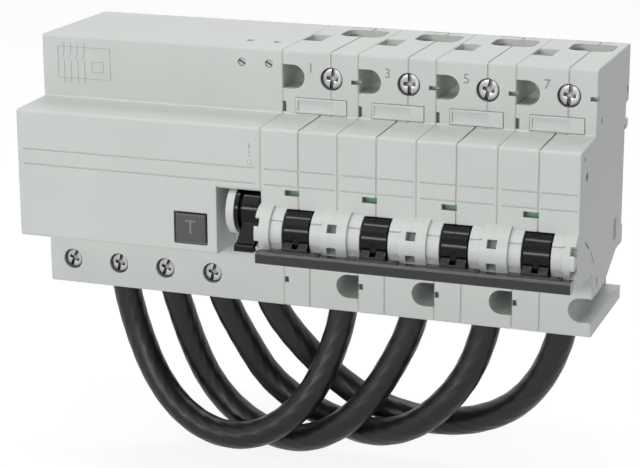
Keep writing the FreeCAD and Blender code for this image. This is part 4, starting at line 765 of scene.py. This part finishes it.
sketch += [(relay_left, relay_low, relay_right, relay_low),
           (relay_left, relay_high, relay_right, relay_high),
           (relay_left, relay_low, relay_left, relay_high),
           (relay_right, relay_low, relay_right, relay_high)]
for k in range(4):
    x = DIAGRAM_LEFT + 2.4 + 2.6 * k
    sketch += [(x, DIAGRAM_HIGH + 1.5, x, DIAGRAM_HIGH - 2.0),
               (x, DIAGRAM_HIGH - 2.0, x - 1.0, DIAGRAM_HIGH - 4.4),
               (x, DIAGRAM_HIGH - 4.6, x, DIAGRAM_LOW)]
printed_strokes("wiring_sketch", sketch, 0.26 * MM, tier_front, "case", pale_ribbons)
print("strokes:", len(on_stroke) + len(off_ring) + len(sketch))

# %% [markdown]
# ## Floor and light
# The device is shown on a pale floor in soft studio light. Two long narrow lamps, one in front and one
# overhead, draw bright lines along the black drums. A weak lamp from the left and a broad one from
# behind fill in. The floor and the room look white to the lens, to shiny surfaces and through clear
# ones, without putting as much light on the device.

# %% Floor
WHITE = (1.0, 1.0, 1.0, 1.0)
FLOOR_REACH = 6.0
FLOOR_GAP = 0.4 * MM
FLOOR_GLOW = 1.1
FLOOR_GLOW_SHARE = 0.8


def white_to_the_lens(tree):
    path = add_node(tree, "ShaderNodeLightPath")
    seen = calculate(tree, "MAXIMUM", path.outputs["Is Camera Ray"], path.outputs["Is Glossy Ray"])
    return calculate(tree, "MAXIMUM", seen, path.outputs["Is Transmission Ray"])


def floor_finish():
    finish, tree, surface = start_finish("studio_floor")
    surface.inputs["Base Color"].default_value = (0.85, 0.85, 0.85, 1.0)
    surface.inputs["Roughness"].default_value = 0.9
    glow = add_node(tree, "ShaderNodeEmission", {"Color": WHITE, "Strength": FLOOR_GLOW})
    share = calculate(tree, "MULTIPLY", white_to_the_lens(tree), FLOOR_GLOW_SHARE)
    both = add_node(tree, "ShaderNodeMixShader",
                    {0: share, 1: surface.outputs[0], 2: glow.outputs[0]})
    tree.links.new(both.outputs[0], tree.nodes["Material Output"].inputs["Surface"])
    return finish


floor_mesh = bpy.data.meshes.new("studio_floor")
floor_z = solid_box[0][2] - FLOOR_GAP
corners = [(-FLOOR_REACH, -FLOOR_REACH, floor_z), (FLOOR_REACH, -FLOOR_REACH, floor_z),
           (FLOOR_REACH, FLOOR_REACH, floor_z), (-FLOOR_REACH, FLOOR_REACH, floor_z)]
floor_mesh.from_pydata(corners, [], [(0, 1, 2, 3)])
floor_mesh.materials.append(floor_finish())
floor = place_object("studio_floor", floor_mesh)
print("floor at", round(floor_z / MM, 1), "mm")

# %% Lamps and room
ROOM_STRENGTH = 0.08


def soft_lamp(name, place, size, power, aim=(0.0, -0.03, -0.01)):
    lamp = bpy.data.lights.new(name, "AREA")
    lamp.shape = "RECTANGLE"
    lamp.size = size[0]
    lamp.size_y = size[1]
    lamp.energy = power
    made = place_object(name, lamp)
    made.location = place
    made.rotation_euler = (Vector(place) - Vector(aim)).to_track_quat("Z", "Y").to_euler()


soft_lamp("key_lamp", (-0.75, -0.85, 1.15), (0.9, 0.7), 1.5)
soft_lamp("front_lamp", (-0.3, -1.6, 0.38), (1.8, 0.18), 13.0)
soft_lamp("top_lamp", (0.0, -0.36, 1.25), (1.6, 0.14), 8.0)
soft_lamp("back_lamp", (0.0, 0.7, 1.2), (1.2, 0.6), 7.0)
room = bpy.data.worlds.new("studio_room")
room.use_nodes = True
room_tree = room.node_tree
even = room_tree.nodes["Background"]
even.inputs["Color"].default_value = WHITE
even.inputs["Strength"].default_value = ROOM_STRENGTH
bright = add_node(room_tree, "ShaderNodeBackground", {"Color": WHITE, "Strength": 1.0})
mixed = add_node(room_tree, "ShaderNodeMixShader", {
    0: white_to_the_lens(room_tree), 1: even.outputs[0], 2: bright.outputs[0]})
room_tree.links.new(mixed.outputs[0], room_tree.nodes["World Output"].inputs["Surface"])
bpy.context.scene.world = room
bpy.context.scene.view_settings.view_transform = "Standard"
